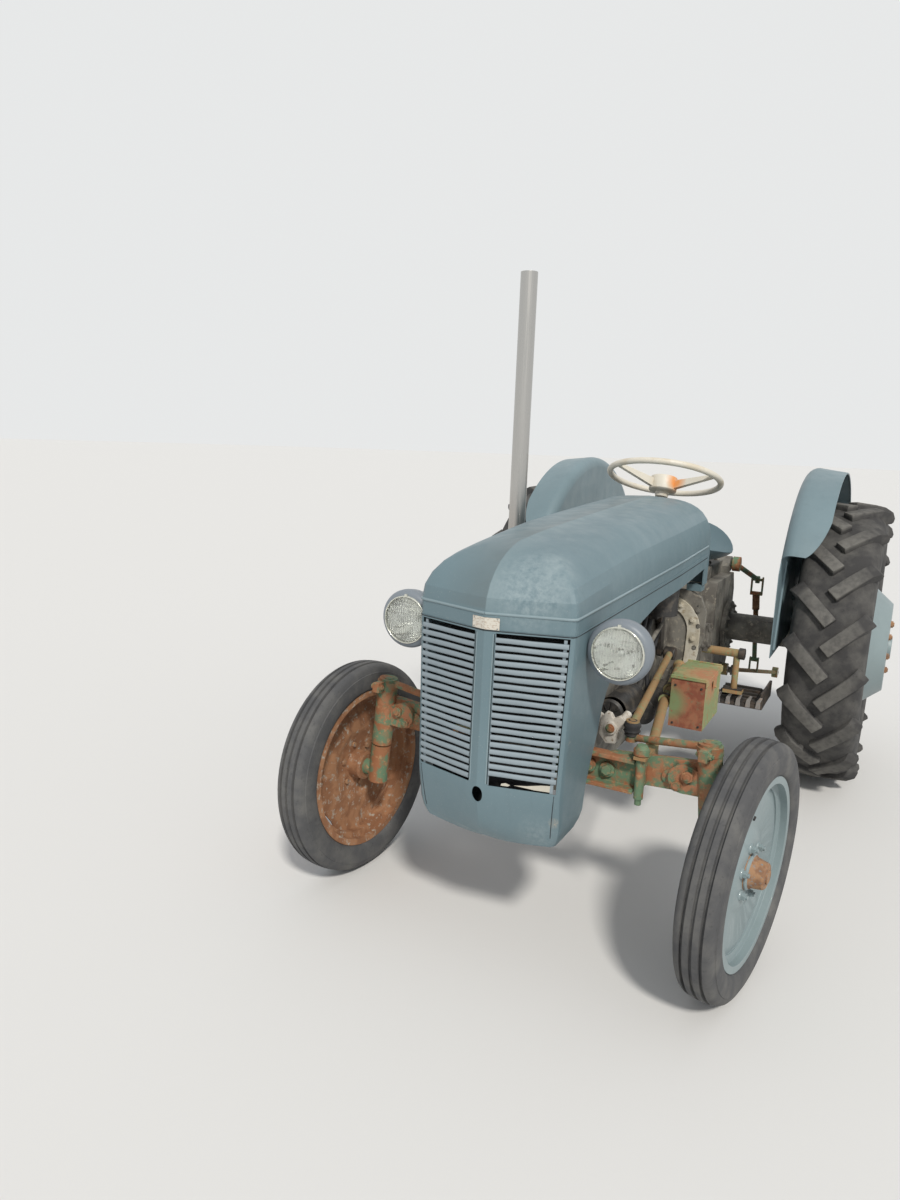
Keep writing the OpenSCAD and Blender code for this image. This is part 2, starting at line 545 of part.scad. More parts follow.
// Lower edge of the shell: distance behind the axle, height
facet_lean = 0.015;                          // forward lean of the grille facets, per mm of drop
lower_edge = [[-400, 367], [-290, 396], [-232, 396], [-159, 408], [-127, 449], [-116, 523], [-94, 582], [-65, 644], [-45, 715], [-20, 756],
  [30, 806], [100, 856], [165, 882], [230, 899], [400, 931], [660, 942], [1030, 969]];
level = [0, 0.012, 0.1, 0.25, 0.4, 0.55, 0.69, 0.74, 0.8, 0.86, 0.91, 0.96, 1];
function shell_point(q, k) = let (f = q[1] < shoulder_y + 3 ? q[0] / nose_half : 1,
    low = q[1] < shoulder_y + 3 ? lerp(367, 396, f) : lookup(q[1], lower_edge) + (belt_front - 1000), s = seam(q[1]) - seat,
    z = level[k] < 0.72 ? (q[1] < shoulder_y + 3 ? lerp(s, 552, level[k] / 0.69) : s - level[k] * (s - low)) : s - level[k] * (s - low),
    d = max(0, 530 - z) / 163, narrow = 1 - 0.06 * min(1, max(0, (s - z) / 505)) - 0.12 * pow(max(0, min(1, (450 - z) / 70)), 2),
    front = max(0, min(1, (-180 - q[1]) / 100)))
  [q[0] * narrow, q[1] + front * (lerp(100, 58, f) * (1 - sqrt(max(0, 1 - d * d))) - facet_lean * min(430, max(0, s - z)) * (1 - min(1, d * 4))
    + min(57, q[1] + nose_reach) * (narrow - 1)), z];
function side_at(y, z) = lerp(nose_half, bonnet_half, min(1, (y - shoulder_y) / 900)) * (1 - 0.06 * (seam(y) - z) / 505);
module nose() color(paint) placed() {
  half = [for (k = [0:len(level) - 1]) [for (i = [no - 1:-1:0]) shell_point(outline[i], k)]];
  whole = [for (row = half) reversed(concat(row, [for (j = [no - 2:-1:0]) [-row[j][0], row[j][1], row[j][2]]]))];
  // The two grille panels are left open between the centre post and the shoulder
  open = function (i, j) let (c = abs(j + 0.5 - (no - 1)) - 0.5) (c >= 1 && c < 6 && i >= 1 && i < 6) ? 0 : 1;
  grid_sheet(whole, function (i, j) open(i, j) == 1, sheet);
}
module bonnet_hinge() color(cast_iron) placed() {
  rod_x(hinge_r, -104, 104, -hinge_reach, hinge_z);
  both() difference() {
    union() {
      along_x(80, 90) hull() { translate([-hinge_reach, hinge_z]) circle(r = hinge_r + 10, $fn = 32); translate([facet_y(90, hinge_z + 60) + 0.5, hinge_z + 59]) square([6, 17]); }
    }
    rod_x(hinge_r - 0.5, 70, 110, -hinge_reach, hinge_z);
  }
}
function facet_y(x, z) = -nose_reach + 55 * x / nose_half - facet_lean * (seam(-nose_reach) - z) + sheet * 1.04 + seat;
// The flat facet of the nose: X runs out from its edge, Z up from the seam, Y goes inwards
module on_facet() translate([0, -nose_reach, seam(-nose_reach)]) rotate([-atan(facet_lean), 0, 0]) rotate([0, 0, atan(55 / nose_half)]) children();
grille_top = -14;                            // top louvre, from the seam
grille_low = -398;                           // lowest louvre, from the seam
// Outer edge of the opening, along the facet
function edge_at(z) = (1 + 0.06 * z / 505) / cos(atan(55 / nose_half)) * nose_half * facet[6];
module grille() color(paint) placed() both() on_facet() {
  for (i = [0:louvres - 1]) {
    z = grille_low + (i + 0.5) * (grille_top - grille_low) / louvres;
    x = edge_at(z) * facet[1] / facet[6] + 1;
    translate([x, 2, z]) rotate([28, 0, 0]) translate([0, -5, -1]) cube([edge_at(z) - 2 - x, 13, 2]);
  }
  for (x = [18, 100]) translate([x, sheet + seat, grille_low - 12]) cube([12, 4, grille_top - grille_low + 20]);
  // Outer strip, along the opening's slanted edge
  lo = grille_low - 10; hi = grille_top + 6;
  along_y(sheet + seat, sheet + seat + 4) polygon([[edge_at(lo) - 9, lo], [edge_at(lo) - 0.5, lo], [edge_at(hi) - 0.5, hi], [edge_at(hi) - 9, hi]]);
}
lamp_y = -205;
module headlamps() color(paint) placed() both() {
  translate([lamp_x, lamp_y, lamp_z]) rotate([90, 0, 0]) difference() {
    rotate_extrude() polygon([[0, -92], [26, -88], [52, -66], [70, -30], [lamp_r - 4, 0], [lamp_r, 4], [lamp_r, 22], [lamp_r - 12, 24], [lamp_r - 12, 8], [lamp_r - 7, 4], [60, -28], [40, -58], [20, -78], [0, -82]]);
  }
  bar([lamp_x - 46, lamp_y + 50, lamp_z - 4], [side_at(lamp_y + 50, lamp_z) + seat, lamp_y + 50, lamp_z - 4], 13);
}
module headlamp_glass() color([0.85, 0.86, 0.84]) placed() both()
  translate([lamp_x, lamp_y, lamp_z]) rotate([90, 0, 0]) rotate_extrude() polygon([[0, 24], [30, 23], [lamp_r - 12 - seat, 17], [lamp_r - 12 - seat, 12], [30, 18], [0, 19]]);

// ---- Body and fittings ----
module dash_cowl() color(paint) placed() {
  a = bonnet_half - 10; zt = top_rear - 14; z0 = 897; y0 = bonnet_rear + 8; y1 = bonnet_rear + 74;
  pts = concat([[a, z0]], [for (t = [0:9:90]) [a * pow(cos(t), 0.7143), 1040 + (zt - 1040) * pow(sin(t), 0.7143)]]);
  outline2 = concat(pts, [for (i = [len(pts) - 2:-1:0]) [-pts[i][0], pts[i][1]]]);
  difference() {
    along_y(y0, y1) polygon(outline2);
    translate([0, 0, -4]) along_y(y0 - 1, y1 - 6) polygon([for (q = outline2) [q[0] * 0.982, q[1]]]);
    translate([0, column_y, column_z]) rotate([-column_lean, 0, 0]) cylinder(r = 24, h = column_l - 60);
    box([-41, 41], [y0, y1 + 1], [z0 - 1, z0 + 30]);
  }
  both() box([a - 60, a - 5], [y0 + 2, y1 - 8], [flange_top, z0]);
}
module fuel_tank() color(black) placed() {
  along_y(300, 930) polygon([[-150, 1034], [150, 1034], [176, 1060], [176, 1090], [150, 1126], [90, 1150], [-90, 1150], [-150, 1126], [-176, 1090], [-176, 1060]]);
  rod_z(28, 0, 700, 1150, 1164);
  both() box([72, 92], [head_y0 + 184, head_y0 + 214], [block_top + 92, 1034]);
  both() box([40, 60], [drop_y + 40, drop_y + 70], [905, 1034]);
}
function pan(r, a) = [r * cos(a), r * 0.92 * sin(a), 34 * pow(r / seat_r, 2) + (sin(a) > 0 ? 110 : 30) * pow(r / seat_r, 4) * pow(abs(sin(a)), 1.5) + 16 * pow(r / seat_r, 8)];
seat_y = ry - 150;
module seat_pan() color(paint) placed() translate([0, seat_y, seat_z + sheet + seat]) {
  rs = [0.06, 0.2, 0.35, 0.5, 0.65, 0.78, 0.89, 0.96, 1];
  rings = [for (f = rs) [for (a = [0:10:350]) pan(seat_r * f, a)]];
  n = len(rs) * 36;
  up = [for (i = [0:len(rs) - 1], j = [0:35]) rings[i][j]];
  polyhedron(points = concat(up, [for (q = up) q - [0, 0, sheet]]), convexity = 6, faces = concat(
    [for (i = [0:len(rs) - 2], j = [0:35]) each let (a = i * 36 + j, b = (i + 1) * 36 + j, d = (i + 1) * 36 + (j + 1) % 36, e = i * 36 + (j + 1) % 36)
      [[a, e, d], [a, d, b], [n + a, n + d, n + e], [n + a, n + b, n + d]]],
    [for (j = [0:35]) each let (a = j, e = (j + 1) % 36) [[a, n + a, n + e], [a, n + e, e]]],
    [for (j = [0:35]) each let (a = (len(rs) - 1) * 36 + j, e = (len(rs) - 1) * 36 + (j + 1) % 36) [[a, e, n + e], [a, n + e, n + a]]]));
}
module seat_support() color(old_green) placed() {
  along_x(-32, 32) polygon([[gear_y1 + 70, 890], [seat_y + 20, 890], [seat_y + 20, seat_z - 6], [seat_y - 40, seat_z - 6], [gear_y1 + 70, 900]]);
  rod_z(30, 0, seat_y, seat_z - 6, seat_z);
}
module footrests() color(old_green) placed() both() {
  box([300, 476], [1090, 1310], [436, 450]);
  box([466, 476], [1090, 1310], [450, 500]);
  for (i = [0:10]) box([300, 466], [1094 + i * 20, 1104 + i * 20], [450, 460]);
  box([gearbox_half + seat, 300], [1150, 1200], [436, 460]);
  box([gearbox_half + seat, gearbox_half + 12], [1130, 1220], [436, 540]);
}
module pedals() color(old_green) placed() both() {
  rod_x(16, gearbox_half - 39, 388, 1100, 640);
  rod_z(12, 365, 1100, 500, 626);
  box([330, 400], [1070, 1112], [488, 500]);
}
module gear_lever() color(black) placed() {
  rod_z(22, 0, 1260, 800, 822);
  bar([0, 1260, 818], [0, 1320, 980], 7);
  translate([0, 1324, 992]) sphere(r = 16);
}
// One side-view slice of a mudguard: a band from radius a to radius b round the rear axle
module sector(a0, a1, r) polygon(concat([[0, 0]], [for (i = [0:24]) let (a = a0 + (a1 - a0) * i / 24) r * [cos(a), sin(a)]]));
module mudguards() color(paint) placed() both() {
  // Rolled top: a section swept about the rear axle, from the front edge over the top to the tail
  translate([0, ry, rear_z]) rotate([0, 90, 0]) rotate([0, 0, 102]) rotate_extrude(angle = 133, $fn = 96)
    polygon(concat([for (a = [0:15:90]) [guard_r - 42 + 42 * sin(a), guard_x + 42 - 42 * cos(a)]], [[guard_r - 14, guard_edge], [guard_r - 14 - guard_t, guard_edge]],
      [for (a = [90:-15:0]) [guard_r - 42 + (42 - guard_t) * sin(a), guard_x + 42 - (42 - guard_t) * cos(a)]]));
  along_x(guard_x, guard_x + guard_t) translate([ry, rear_z]) difference() {
    intersection() { circle(r = guard_r - 41, $fn = 96); translate([-598, 20]) square([1290, 800]); }
    circle(r = trumpet_r + 3, $fn = 64);
  }
}
module exhaust_manifold() color(rust) placed() {
  for (i = [0:3]) rod_x(19, -160, -block_half + 4 - seat, head_y0 + 70 + i * 140, block_top + 50);
  rod_y(27, -172, head_y0 + 50, head_y0 + 510, block_top + 50);
  rod_x(30, -stack_x + stack_r + 4, -172, 556, block_top + 50);
}
module exhaust_stack() color([0.78, 0.78, 0.78]) placed() difference() {
  union() { rod_z(stack_r + 4, -stack_x, 556, block_top, block_top + 120); rod_z(stack_r, -stack_x, 556, block_top + 120, stack_top); }
  rod_z(stack_r - 2, -stack_x, 556, block_top + 100, stack_top + 1);
}
module air_cleaner() color(black) placed() {
  rod_z(56, 163, 700, block_top + 6, 1000);
  rod_x(20, block_half - 4, 120, 680, block_top + 50);
  box([block_half, 160], [670, 730], [block_top - 10, block_top + 6]);
}
module dynamo() color([0.3, 0.3, 0.3]) placed() {
  rod_y(44, 158, 240, 430, 612);
  rod_y(8, 158, 205, 240, 612);
  rod_y(40, 158, 208, 224, 612);
  box([block_half, 130], [300, 340], [560, 590]);
}
module starter() color(black) placed() {
  rod_y(46, 162, 560, bell_y0 + 110, 520);
  box([115, 130], [bell_y0 + 40, bell_y0 + 100], [500, 540]);
}
module water_pump() color(cast_iron) placed() {
  box([-50, 50], [104, 128], [740, 860]);
  box([-30, 30], [60, 104], [760, 840]);
  rod_y(9, 0, -48, 60, 800);
}
box_at = [275, 470, 522];
lid_pin_r = 3;
module tool_box() color(old_green) placed() {
  difference() {
    translate(box_at) cube([box_w, box_l, box_h - 8]);
    translate(box_at + [4, 4, 4]) cube([box_w - 8, box_l - 8, box_h]);
  }
  // Two bands clamp the box to the radius rod
  for (y = [520, 645]) {
    a = [250, 500, 590]; d = ([192, 900, 592] - a) / 400; c = a + d * (y - 500);
    difference() {
      union() { bar(c - d * 13, c + d * 13, 20); box([c[0], box_at[0]], [y - 13, y + 13], [576, 606]); }
      bar(c - d * 40, c + d * 40, 14 + seat);
    }
  }
  rod_y(lid_pin_r, box_at[0] - 6, box_at[1] + 20, box_at[1] + box_l - 20, box_at[2] + box_h - 10);
  for (y = [box_at[1] + 20, box_at[1] + box_l - 40]) box([box_at[0] - 9, box_at[0]], [y, y + 20], [box_at[2] + box_h - 26, box_at[2] + box_h - 11]);
}
module tool_box_lid() color(old_green) placed() {
  difference() {
    union() {
      translate(box_at + [-3, -4, box_h - 8 + seat]) cube([box_w + 8, box_l + 8, 5]);
      translate(box_at + [box_w + seat, -4, box_h - 22]) cube([5 - seat, box_l + 8, 15]);
      rod_y(5.6, box_at[0] - 6, box_at[1] + 50, box_at[1] + box_l - 50, box_at[2] + box_h - 10);
    }
    rod_y(lid_pin_r + seat, box_at[0] - 6, box_at[1], box_at[1] + box_l, box_at[2] + box_h - 10);
    box([box_at[0], box_at[0] + box_w], [box_at[1] - 10, box_at[1] + box_l + 10], [box_at[2], box_at[2] + box_h - 8 + seat]);
  }
}
module fan() color([0.35, 0.36, 0.38]) placed() translate([0, -44, 800]) rotate([-90, 0, 0]) {
  difference() { cylinder(r = 34, h = 18); translate([0, 0, -1]) cylinder(r = 9 + seat, h = 40); }
  for (a = [0:90:270]) rotate([0, 0, a]) translate([30, -32, 7]) rotate([12, 0, 0]) cube([fan_r - 30, 60, 2]);
}

// ---- Three-point linkage ----
lift_rest = 23;
arm_tip = [shaft_y + lift_l * cos(lift_rest), shaft_z - lift_l * sin(lift_rest)];
link_a = 420;
lower_mid = [link_y + link_a * cos(lower_rest), lower_z - link_a * sin(lower_rest)];
lower_end = [link_y + lower_l * cos(lower_rest), lower_z - lower_l * sin(lower_rest)];
link_x0 = centre_half + 22;
link_x1 = 340;
module lift_arms() color(old_green) placed() {
  rod_x(shaft_r, -214, 214, shaft_y, shaft_z);
  both() difference() {
    union() {
      rod_x(34, 180, 212, shaft_y, shaft_z);
      bar([197, shaft_y + 20, shaft_z - 8], [262, arm_tip[0], arm_tip[1]], 12);
      rod_x(18, 253, 271, arm_tip[0], arm_tip[1]);
    }
    rod_x(7 + seat, 240, 290, arm_tip[0], arm_tip[1]);
    rod_x(shaft_r - 1, 150, 214, shaft_y, shaft_z);
  }
}
module lift_rod(s) color(old_green) placed() mirror([s > 0 ? 0 : 1, 0, 0]) {
  lo = [lower_mid[0], lower_mid[1]];
  xt = 262; xl = lerp(link_x0, link_x1, link_a / lower_l);
  rod_x(7, xt - 28, xt + 28, arm_tip[0], arm_tip[1]);
  for (d = [-28, 22]) strap(xt + d, xt + d + 6, arm_tip, arm_tip + [2, -62], 15, 12);
  box([xt - 28, xt + 28], [arm_tip[0] - 10, arm_tip[0] + 14], [arm_tip[1] - 76, arm_tip[1] - 60]);
  bar([xt, arm_tip[0] + 2, arm_tip[1] - 66], [xl, lo[0], lo[1] + 66], 11);
  box([xl - 22, xl + 22], [lo[0] - 12, lo[0] + 12], [lo[1] + 52, lo[1] + 68]);
  for (d = [-22, 16]) strap(xl + d, xl + d + 6, lo + [0, 60], lo + [0, 8], 12, 14);
}
module lift_rod_left() lift_rod(1);
module lift_rod_right() lift_rod(-1);
module lower_link(s) color(old_green) placed() mirror([s > 0 ? 0 : 1, 0, 0]) difference() {
  union() {
    translate([link_x0 - 12, link_y, lower_z]) rotate([0, 90, 0]) cylinder(r = 28, h = 26);
    bar([link_x0 + 2, link_y + 14, lower_z - 3], [link_x1, lower_end[0] - 14, lower_end[1] + 3], 10);
    rod_x(28, link_x1 - 14, link_x1 + 14, lower_end[0], lower_end[1]);
  }
  rod_x(lower_pin + seat, 0, link_x0 + 40, link_y, lower_z);
  rod_x(ball_bore, link_x1 - 30, link_x1 + 30, lower_end[0], lower_end[1]);
}
module lower_link_left() lower_link(1);
module lower_link_right() lower_link(-1);

front_bolster();
radiator();
engine_block();
cylinder_head();
oil_sump();
bell_housing();
gearbox();
centre_housing();
axle_trumpets();
lift_cover();
front_axle();
axle_ends();
radius_rods();
steering_box();
dash_cowl();
fuel_tank();
seat_pan();
seat_support();
footrests();
pedals();
gear_lever();
mudguards();
exhaust_manifold();
exhaust_stack();
air_cleaner();
dynamo();
starter();
water_pump();
tool_box();
tool_box_lid();
pto_shaft();
bonnet_top();
nose();
bonnet_hinge();
grille();
headlamps();
headlamp_glass();
steering_wheel();
knuckle_left();
knuckle_right();
drop_arm_left();
drop_arm_right();
drag_link_left();
drag_link_right();
front_wheel_left();
front_tyre_left();
front_wheel_right();
front_tyre_right();
rear_wheel_left();
rear_tyre_left();
rear_wheel_right();
rear_tyre_right();
lift_arms();
lift_rod_left();
lift_rod_right();
lower_link_left();
lower_link_right();
fan();
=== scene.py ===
import json
import math
import bmesh
import bpy
from mathutils import Matrix, Vector


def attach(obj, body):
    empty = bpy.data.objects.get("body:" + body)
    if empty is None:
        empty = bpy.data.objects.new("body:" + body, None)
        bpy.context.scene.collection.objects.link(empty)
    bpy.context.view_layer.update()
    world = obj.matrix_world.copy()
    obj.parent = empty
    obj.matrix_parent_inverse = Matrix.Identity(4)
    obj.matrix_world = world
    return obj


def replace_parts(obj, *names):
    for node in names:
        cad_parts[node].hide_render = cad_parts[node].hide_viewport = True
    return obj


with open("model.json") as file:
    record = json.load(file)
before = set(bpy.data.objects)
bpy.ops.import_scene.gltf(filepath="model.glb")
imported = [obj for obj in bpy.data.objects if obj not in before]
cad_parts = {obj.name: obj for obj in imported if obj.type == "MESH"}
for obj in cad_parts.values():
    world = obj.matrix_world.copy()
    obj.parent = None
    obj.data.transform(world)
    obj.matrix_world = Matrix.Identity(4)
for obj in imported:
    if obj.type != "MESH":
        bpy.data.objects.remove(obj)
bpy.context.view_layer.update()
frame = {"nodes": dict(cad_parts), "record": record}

# ---- Camera and studio ----
# The place of a person who stands in front of the machine's left corner.
# The floor and the backdrop are plain and pale, and the light is soft.
AXLE_Y = -1.10275                            # the front axle, in the frame's metres
YAW, PITCH, ROLL = -0.501, -0.198, 0.036     # how the eye is turned, in radians
EYE_ASIDE, EYE_AHEAD, EYE_HIGH = 0.884, 2.140, 1.427    # its place from the front axle, in metres
FRAME_LONG, LENS = 36, 25.08                 # the camera's frame and lens, in millimetres
ahead = Vector((math.sin(YAW) * math.cos(PITCH), math.cos(YAW) * math.cos(PITCH), math.sin(PITCH)))
level_right = Vector((math.cos(YAW), -math.sin(YAW), 0))
level_up = level_right.cross(ahead)
eye_right = math.cos(ROLL) * level_right + math.sin(ROLL) * level_up
eye_up = -math.sin(ROLL) * level_right + math.cos(ROLL) * level_up
eye = bpy.data.cameras.new("eye")
eye.sensor_fit, eye.sensor_width, eye.lens = "AUTO", FRAME_LONG, LENS
camera = bpy.data.objects.new("eye", eye)
looking = Matrix((eye_right, eye_up, -ahead)).transposed().to_4x4()
camera.matrix_world = Matrix.Translation((EYE_ASIDE, AXLE_Y - EYE_AHEAD, EYE_HIGH)) @ looking
bpy.context.scene.collection.objects.link(camera)
bpy.context.scene.camera = camera
bpy.context.scene.view_settings.view_transform = "Standard"

bm = bmesh.new()
bmesh.ops.create_circle(bm, cap_ends=True, segments=64, radius=60)
floor_mesh = bpy.data.meshes.new("studio_floor")
bm.to_mesh(floor_mesh)
bm.free()
floor = bpy.data.objects.new("studio_floor", floor_mesh)
bpy.context.scene.collection.objects.link(floor)
floor_paint = bpy.data.materials.new("studio_floor")
floor_paint.use_nodes = True
floor_surface = floor_paint.node_tree.nodes["Principled BSDF"]
floor_surface.inputs["Base Color"].default_value = (0.70, 0.695, 0.68, 1)
floor_surface.inputs["Roughness"].default_value = 0.9
floor_mesh.materials.append(floor_paint)

# The sky lights the tractor; the camera, gloss and clear glass see a plain pale backdrop instead
sky = bpy.data.worlds.new("studio_sky")
bpy.context.scene.world = sky
sky.use_nodes = True
sky_tree = sky.node_tree
soft_light = sky_tree.nodes["Background"]
soft_light.inputs["Color"].default_value = (0.93, 0.96, 1.0, 1)
soft_light.inputs["Strength"].default_value = 0.60
backdrop = sky_tree.nodes.new("ShaderNodeBackground")
backdrop.inputs["Color"].default_value = (0.80, 0.81, 0.81, 1)
ray = sky_tree.nodes.new("ShaderNodeLightPath")
seen = sky_tree.nodes.new("ShaderNodeMath")
seen.operation = "MAXIMUM"
clear = sky_tree.nodes.new("ShaderNodeMath")
clear.operation = "MAXIMUM"
pick = sky_tree.nodes.new("ShaderNodeMixShader")
sky_tree.links.new(ray.outputs["Is Camera Ray"], seen.inputs[0])
sky_tree.links.new(ray.outputs["Is Glossy Ray"], seen.inputs[1])
sky_tree.links.new(seen.outputs[0], clear.inputs[0])
sky_tree.links.new(ray.outputs["Is Transmission Ray"], clear.inputs[1])
sky_tree.links.new(clear.outputs[0], pick.inputs[0])
sky_tree.links.new(soft_light.outputs[0], pick.inputs[1])
sky_tree.links.new(backdrop.outputs[0], pick.inputs[2])
sky_tree.links.new(pick.outputs[0], sky_tree.nodes["World Output"].inputs[0])
sun = bpy.data.lights.new("soft_sun", "SUN")
sun.energy, sun.angle, sun.color = 2.6, 0.12, (1.0, 0.96, 0.90)
sun_place = bpy.data.objects.new("soft_sun", sun)
sun_place.rotation_euler = Vector((0.62, -0.80, 1.0)).to_track_quat("Z", "Y").to_euler()
bpy.context.scene.collection.objects.link(sun_place)


# ---- Engine, gearbox and rear axle castings ----
# Grey iron castings bolted end to end, which are the tractor's backbone.
# They are painted grey, and are thick with dust, dried mud and oil.
WHEELBASE, REAR_AXLE_Z = 1778, 600           # the rear axle, back from the front one and up, in millimetres
FRONT_AXLE = Matrix.Translation((0, AXLE_Y, 0))


def shader(name, rough, metal=0.0, coat=0.0, specular=0.5, colour=None):
    """A new material with its constant numbers set on the shader itself."""
    material = bpy.data.materials.new(name)
    material.use_nodes = True
    surface = material.node_tree.nodes["Principled BSDF"]
    surface.inputs["Metallic"].default_value = metal
    surface.inputs["Roughness"].default_value = rough
    surface.inputs["Coat Weight"].default_value = coat
    surface.inputs["Specular IOR Level"].default_value = specular
    if colour:
        surface.inputs["Base Color"].default_value = (*colour, 1)
    return material, material.node_tree, surface


def grain(tree, size, detail, stretch=(1, 1, 1), rough=0.55):
    """A noise pattern whose patches are about size metres across."""
    place, mapping = tree.nodes.new("ShaderNodeTexCoord"), tree.nodes.new("ShaderNodeMapping")
    mapping.inputs["Scale"].default_value = stretch
    noise = tree.nodes.new("ShaderNodeTexNoise")
    noise.inputs["Scale"].default_value = 1 / size
    noise.inputs["Detail"].default_value = detail
    noise.inputs["Roughness"].default_value = rough
    tree.links.new(place.outputs["Object"], mapping.inputs["Vector"])
    tree.links.new(mapping.outputs["Vector"], noise.inputs["Vector"])
    return noise.outputs["Fac"]


def band(tree, value, low, high, bottom=0.0, top=1.0):
    """Turns a pattern into a mask that goes from bottom at low to top at high."""
    ramp = tree.nodes.new("ShaderNodeMapRange")
    for socket, number in zip(("From Min", "From Max", "To Min", "To Max"), (low, high, bottom, top)):
        ramp.inputs[socket].default_value = number
    tree.links.new(value, ramp.inputs["Value"])
    return ramp.outputs["Result"]


def both_masks(tree, first, second):
    """Where both masks are on."""
    times = tree.nodes.new("ShaderNodeMath")
    times.operation = "MULTIPLY"
    tree.links.new(first, times.inputs[0])
    tree.links.new(second, times.inputs[1])
    return times.outputs[0]


def lay_over(tree, mask, under, over):
    """Lays one colour over another where the mask is 1."""
    mix = tree.nodes.new("ShaderNodeMix")
    mix.data_type = "RGBA"
    tree.links.new(mask, mix.inputs["Factor"])
    for socket, colour in ((mix.inputs["A"], under), (mix.inputs["B"], over)):
        if isinstance(colour, tuple):
            socket.default_value = (*colour, 1)
        else:
            tree.links.new(colour, socket)
    return mix.outputs["Result"]


def emboss(tree, surface, value, strength, depth):
    """Gives the surface a relief of depth metres from a pattern, over any relief that it has."""
    bump = tree.nodes.new("ShaderNodeBump")
    bump.inputs["Strength"].default_value = strength
    bump.inputs["Distance"].default_value = depth
    if surface.inputs["Normal"].is_linked:
        tree.links.new(surface.inputs["Normal"].links[0].from_socket, bump.inputs["Normal"])
    tree.links.new(value, bump.inputs["Height"])
    tree.links.new(bump.outputs["Normal"], surface.inputs["Normal"])


def along(tree, axis):
    """How far along an axis of the frame a place on the surface is, in metres."""
    place, split = tree.nodes.new("ShaderNodeTexCoord"), tree.nodes.new("ShaderNodeSeparateXYZ")
    tree.links.new(place.outputs["Object"], split.inputs["Vector"])
    return split.outputs[axis]


def worn_coat(name, base, patch, spots, grime, sizes, amounts, rough=0.7):
    """An old coat: big patches and small spots of other colours, then grime in drips, on a rough skin.

    sizes are those of patches, spots and drips in metres; higher amounts leave less of each.
    """
    material, tree, surface = shader(name, rough)
    (patch_size, spot_size, drip_size), (patch_from, spot_from, drip_from) = sizes, amounts
    patches = band(tree, grain(tree, patch_size, 8), patch_from - 0.05, patch_from + 0.05)
    colour = lay_over(tree, patches, base, patch)
    specks = band(tree, grain(tree, spot_size, 9, rough=0.65), spot_from - 0.05, spot_from + 0.07)
    colour = lay_over(tree, specks, colour, spots)
    drips = band(tree, grain(tree, drip_size, 5, (1, 1, 0.4)), drip_from, drip_from + 0.22)
    colour = lay_over(tree, drips, colour, grime)
    tree.links.new(colour, surface.inputs["Base Color"])
    dullness = band(tree, grain(tree, spot_size, 5), 0.2, 0.8, rough - 0.15, rough + 0.2)
    tree.links.new(dullness, surface.inputs["Roughness"])
    emboss(tree, surface, grain(tree, 0.004, 4), 0.5, 0.0006)
    emboss(tree, surface, grain(tree, spot_size, 8, rough=0.65), 0.6, 0.0012)
    return material


def shade_smooth(mesh, smooth):
    """Smooth faces, with every bend over that many degrees kept sharp."""
    bm = bmesh.new()
    bm.from_mesh(mesh)
    for face in bm.faces:
        face.smooth = True
    for line in bm.edges:
        line.smooth = line.calc_face_angle(0) < math.radians(smooth)
    bm.to_mesh(mesh)
    bm.free()


def put_on(name, mesh, material, body, smooth, edge, rounds=2):
    """Makes a mesh a piece of the tractor: smooth shading, rounded edges, its material and its body."""
    shade_smooth(mesh, smooth)
    mesh.name = name
    piece = bpy.data.objects.new(name, mesh)
    bpy.context.scene.collection.objects.link(piece)
    mesh.materials.append(material)
    if edge:
        soften = piece.modifiers.new("rounded_edges", "BEVEL")
        soften.width, soften.segments, soften.limit_method = edge, rounds, "ANGLE"
        soften.angle_limit, soften.harden_normals = math.radians(smooth), True
    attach(piece, body)
    return piece


def cut(mesh, cutter):
    """A mesh with the solids of a bmesh cut out of it."""
    bmesh.ops.recalc_face_normals(cutter, faces=cutter.faces)
    cutter_mesh = bpy.data.meshes.new("cutter")
    cutter.to_mesh(cutter_mesh)
    cutter.free()
    whole, tool = bpy.data.objects.new("whole", mesh), bpy.data.objects.new("cutter", cutter_mesh)
    for thing in (whole, tool):
        bpy.context.scene.collection.objects.link(thing)
    difference = whole.modifiers.new("cut", "BOOLEAN")
    difference.object, difference.operation, difference.solver = tool, "DIFFERENCE", "EXACT"
    bpy.context.view_layer.update()
    result = bpy.data.meshes.new_from_object(whole.evaluated_get(bpy.context.evaluated_depsgraph_get()))
    for thing in (whole, tool):
        bpy.data.objects.remove(thing)
    return result


def dressed(node, name, material, edge, smooth=32, rounds=2, cutter=None):
    """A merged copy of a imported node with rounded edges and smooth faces, which stands for the node."""
    mesh = frame["nodes"][node].data.copy()
    mesh.materials.clear()
    bm = bmesh.new()
    bm.from_mesh(mesh)
    bmesh.ops.remove_doubles(bm, verts=bm.verts, dist=0.00004)
    bmesh.ops.dissolve_limit(bm, angle_limit=0.004, verts=bm.verts, edges=bm.edges)
    bm.to_mesh(mesh)
    bm.free()
    if cutter is not None:
        mesh = cut(mesh, cutter)
    bodies = frame["record"]["behaviour"]["bodies"]
    body = next(body for body in bodies if node in bodies[body])
    piece = put_on(name, mesh, material, body, smooth, edge, rounds)
    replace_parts(piece, node)
    return piece


def made(name, bm, material, body, smooth, edge=0.0):
    """Makes a finished bmesh a piece of the tractor, with its faces turned outwards."""
    bmesh.ops.remove_doubles(bm, verts=bm.verts, dist=0.00002)
    bmesh.ops.recalc_face_normals(bm, faces=bm.faces)
    mesh = bpy.data.meshes.new(name)
    bm.to_mesh(mesh)
    bm.free()
    return put_on(name, mesh, material, body, smooth, edge)


def at(x, y, z):
    """A point in millimetres, with Y measured back from the front axle, in the frame's metres."""
    return Vector((x / 1000, y / 1000 + AXLE_Y, z / 1000))


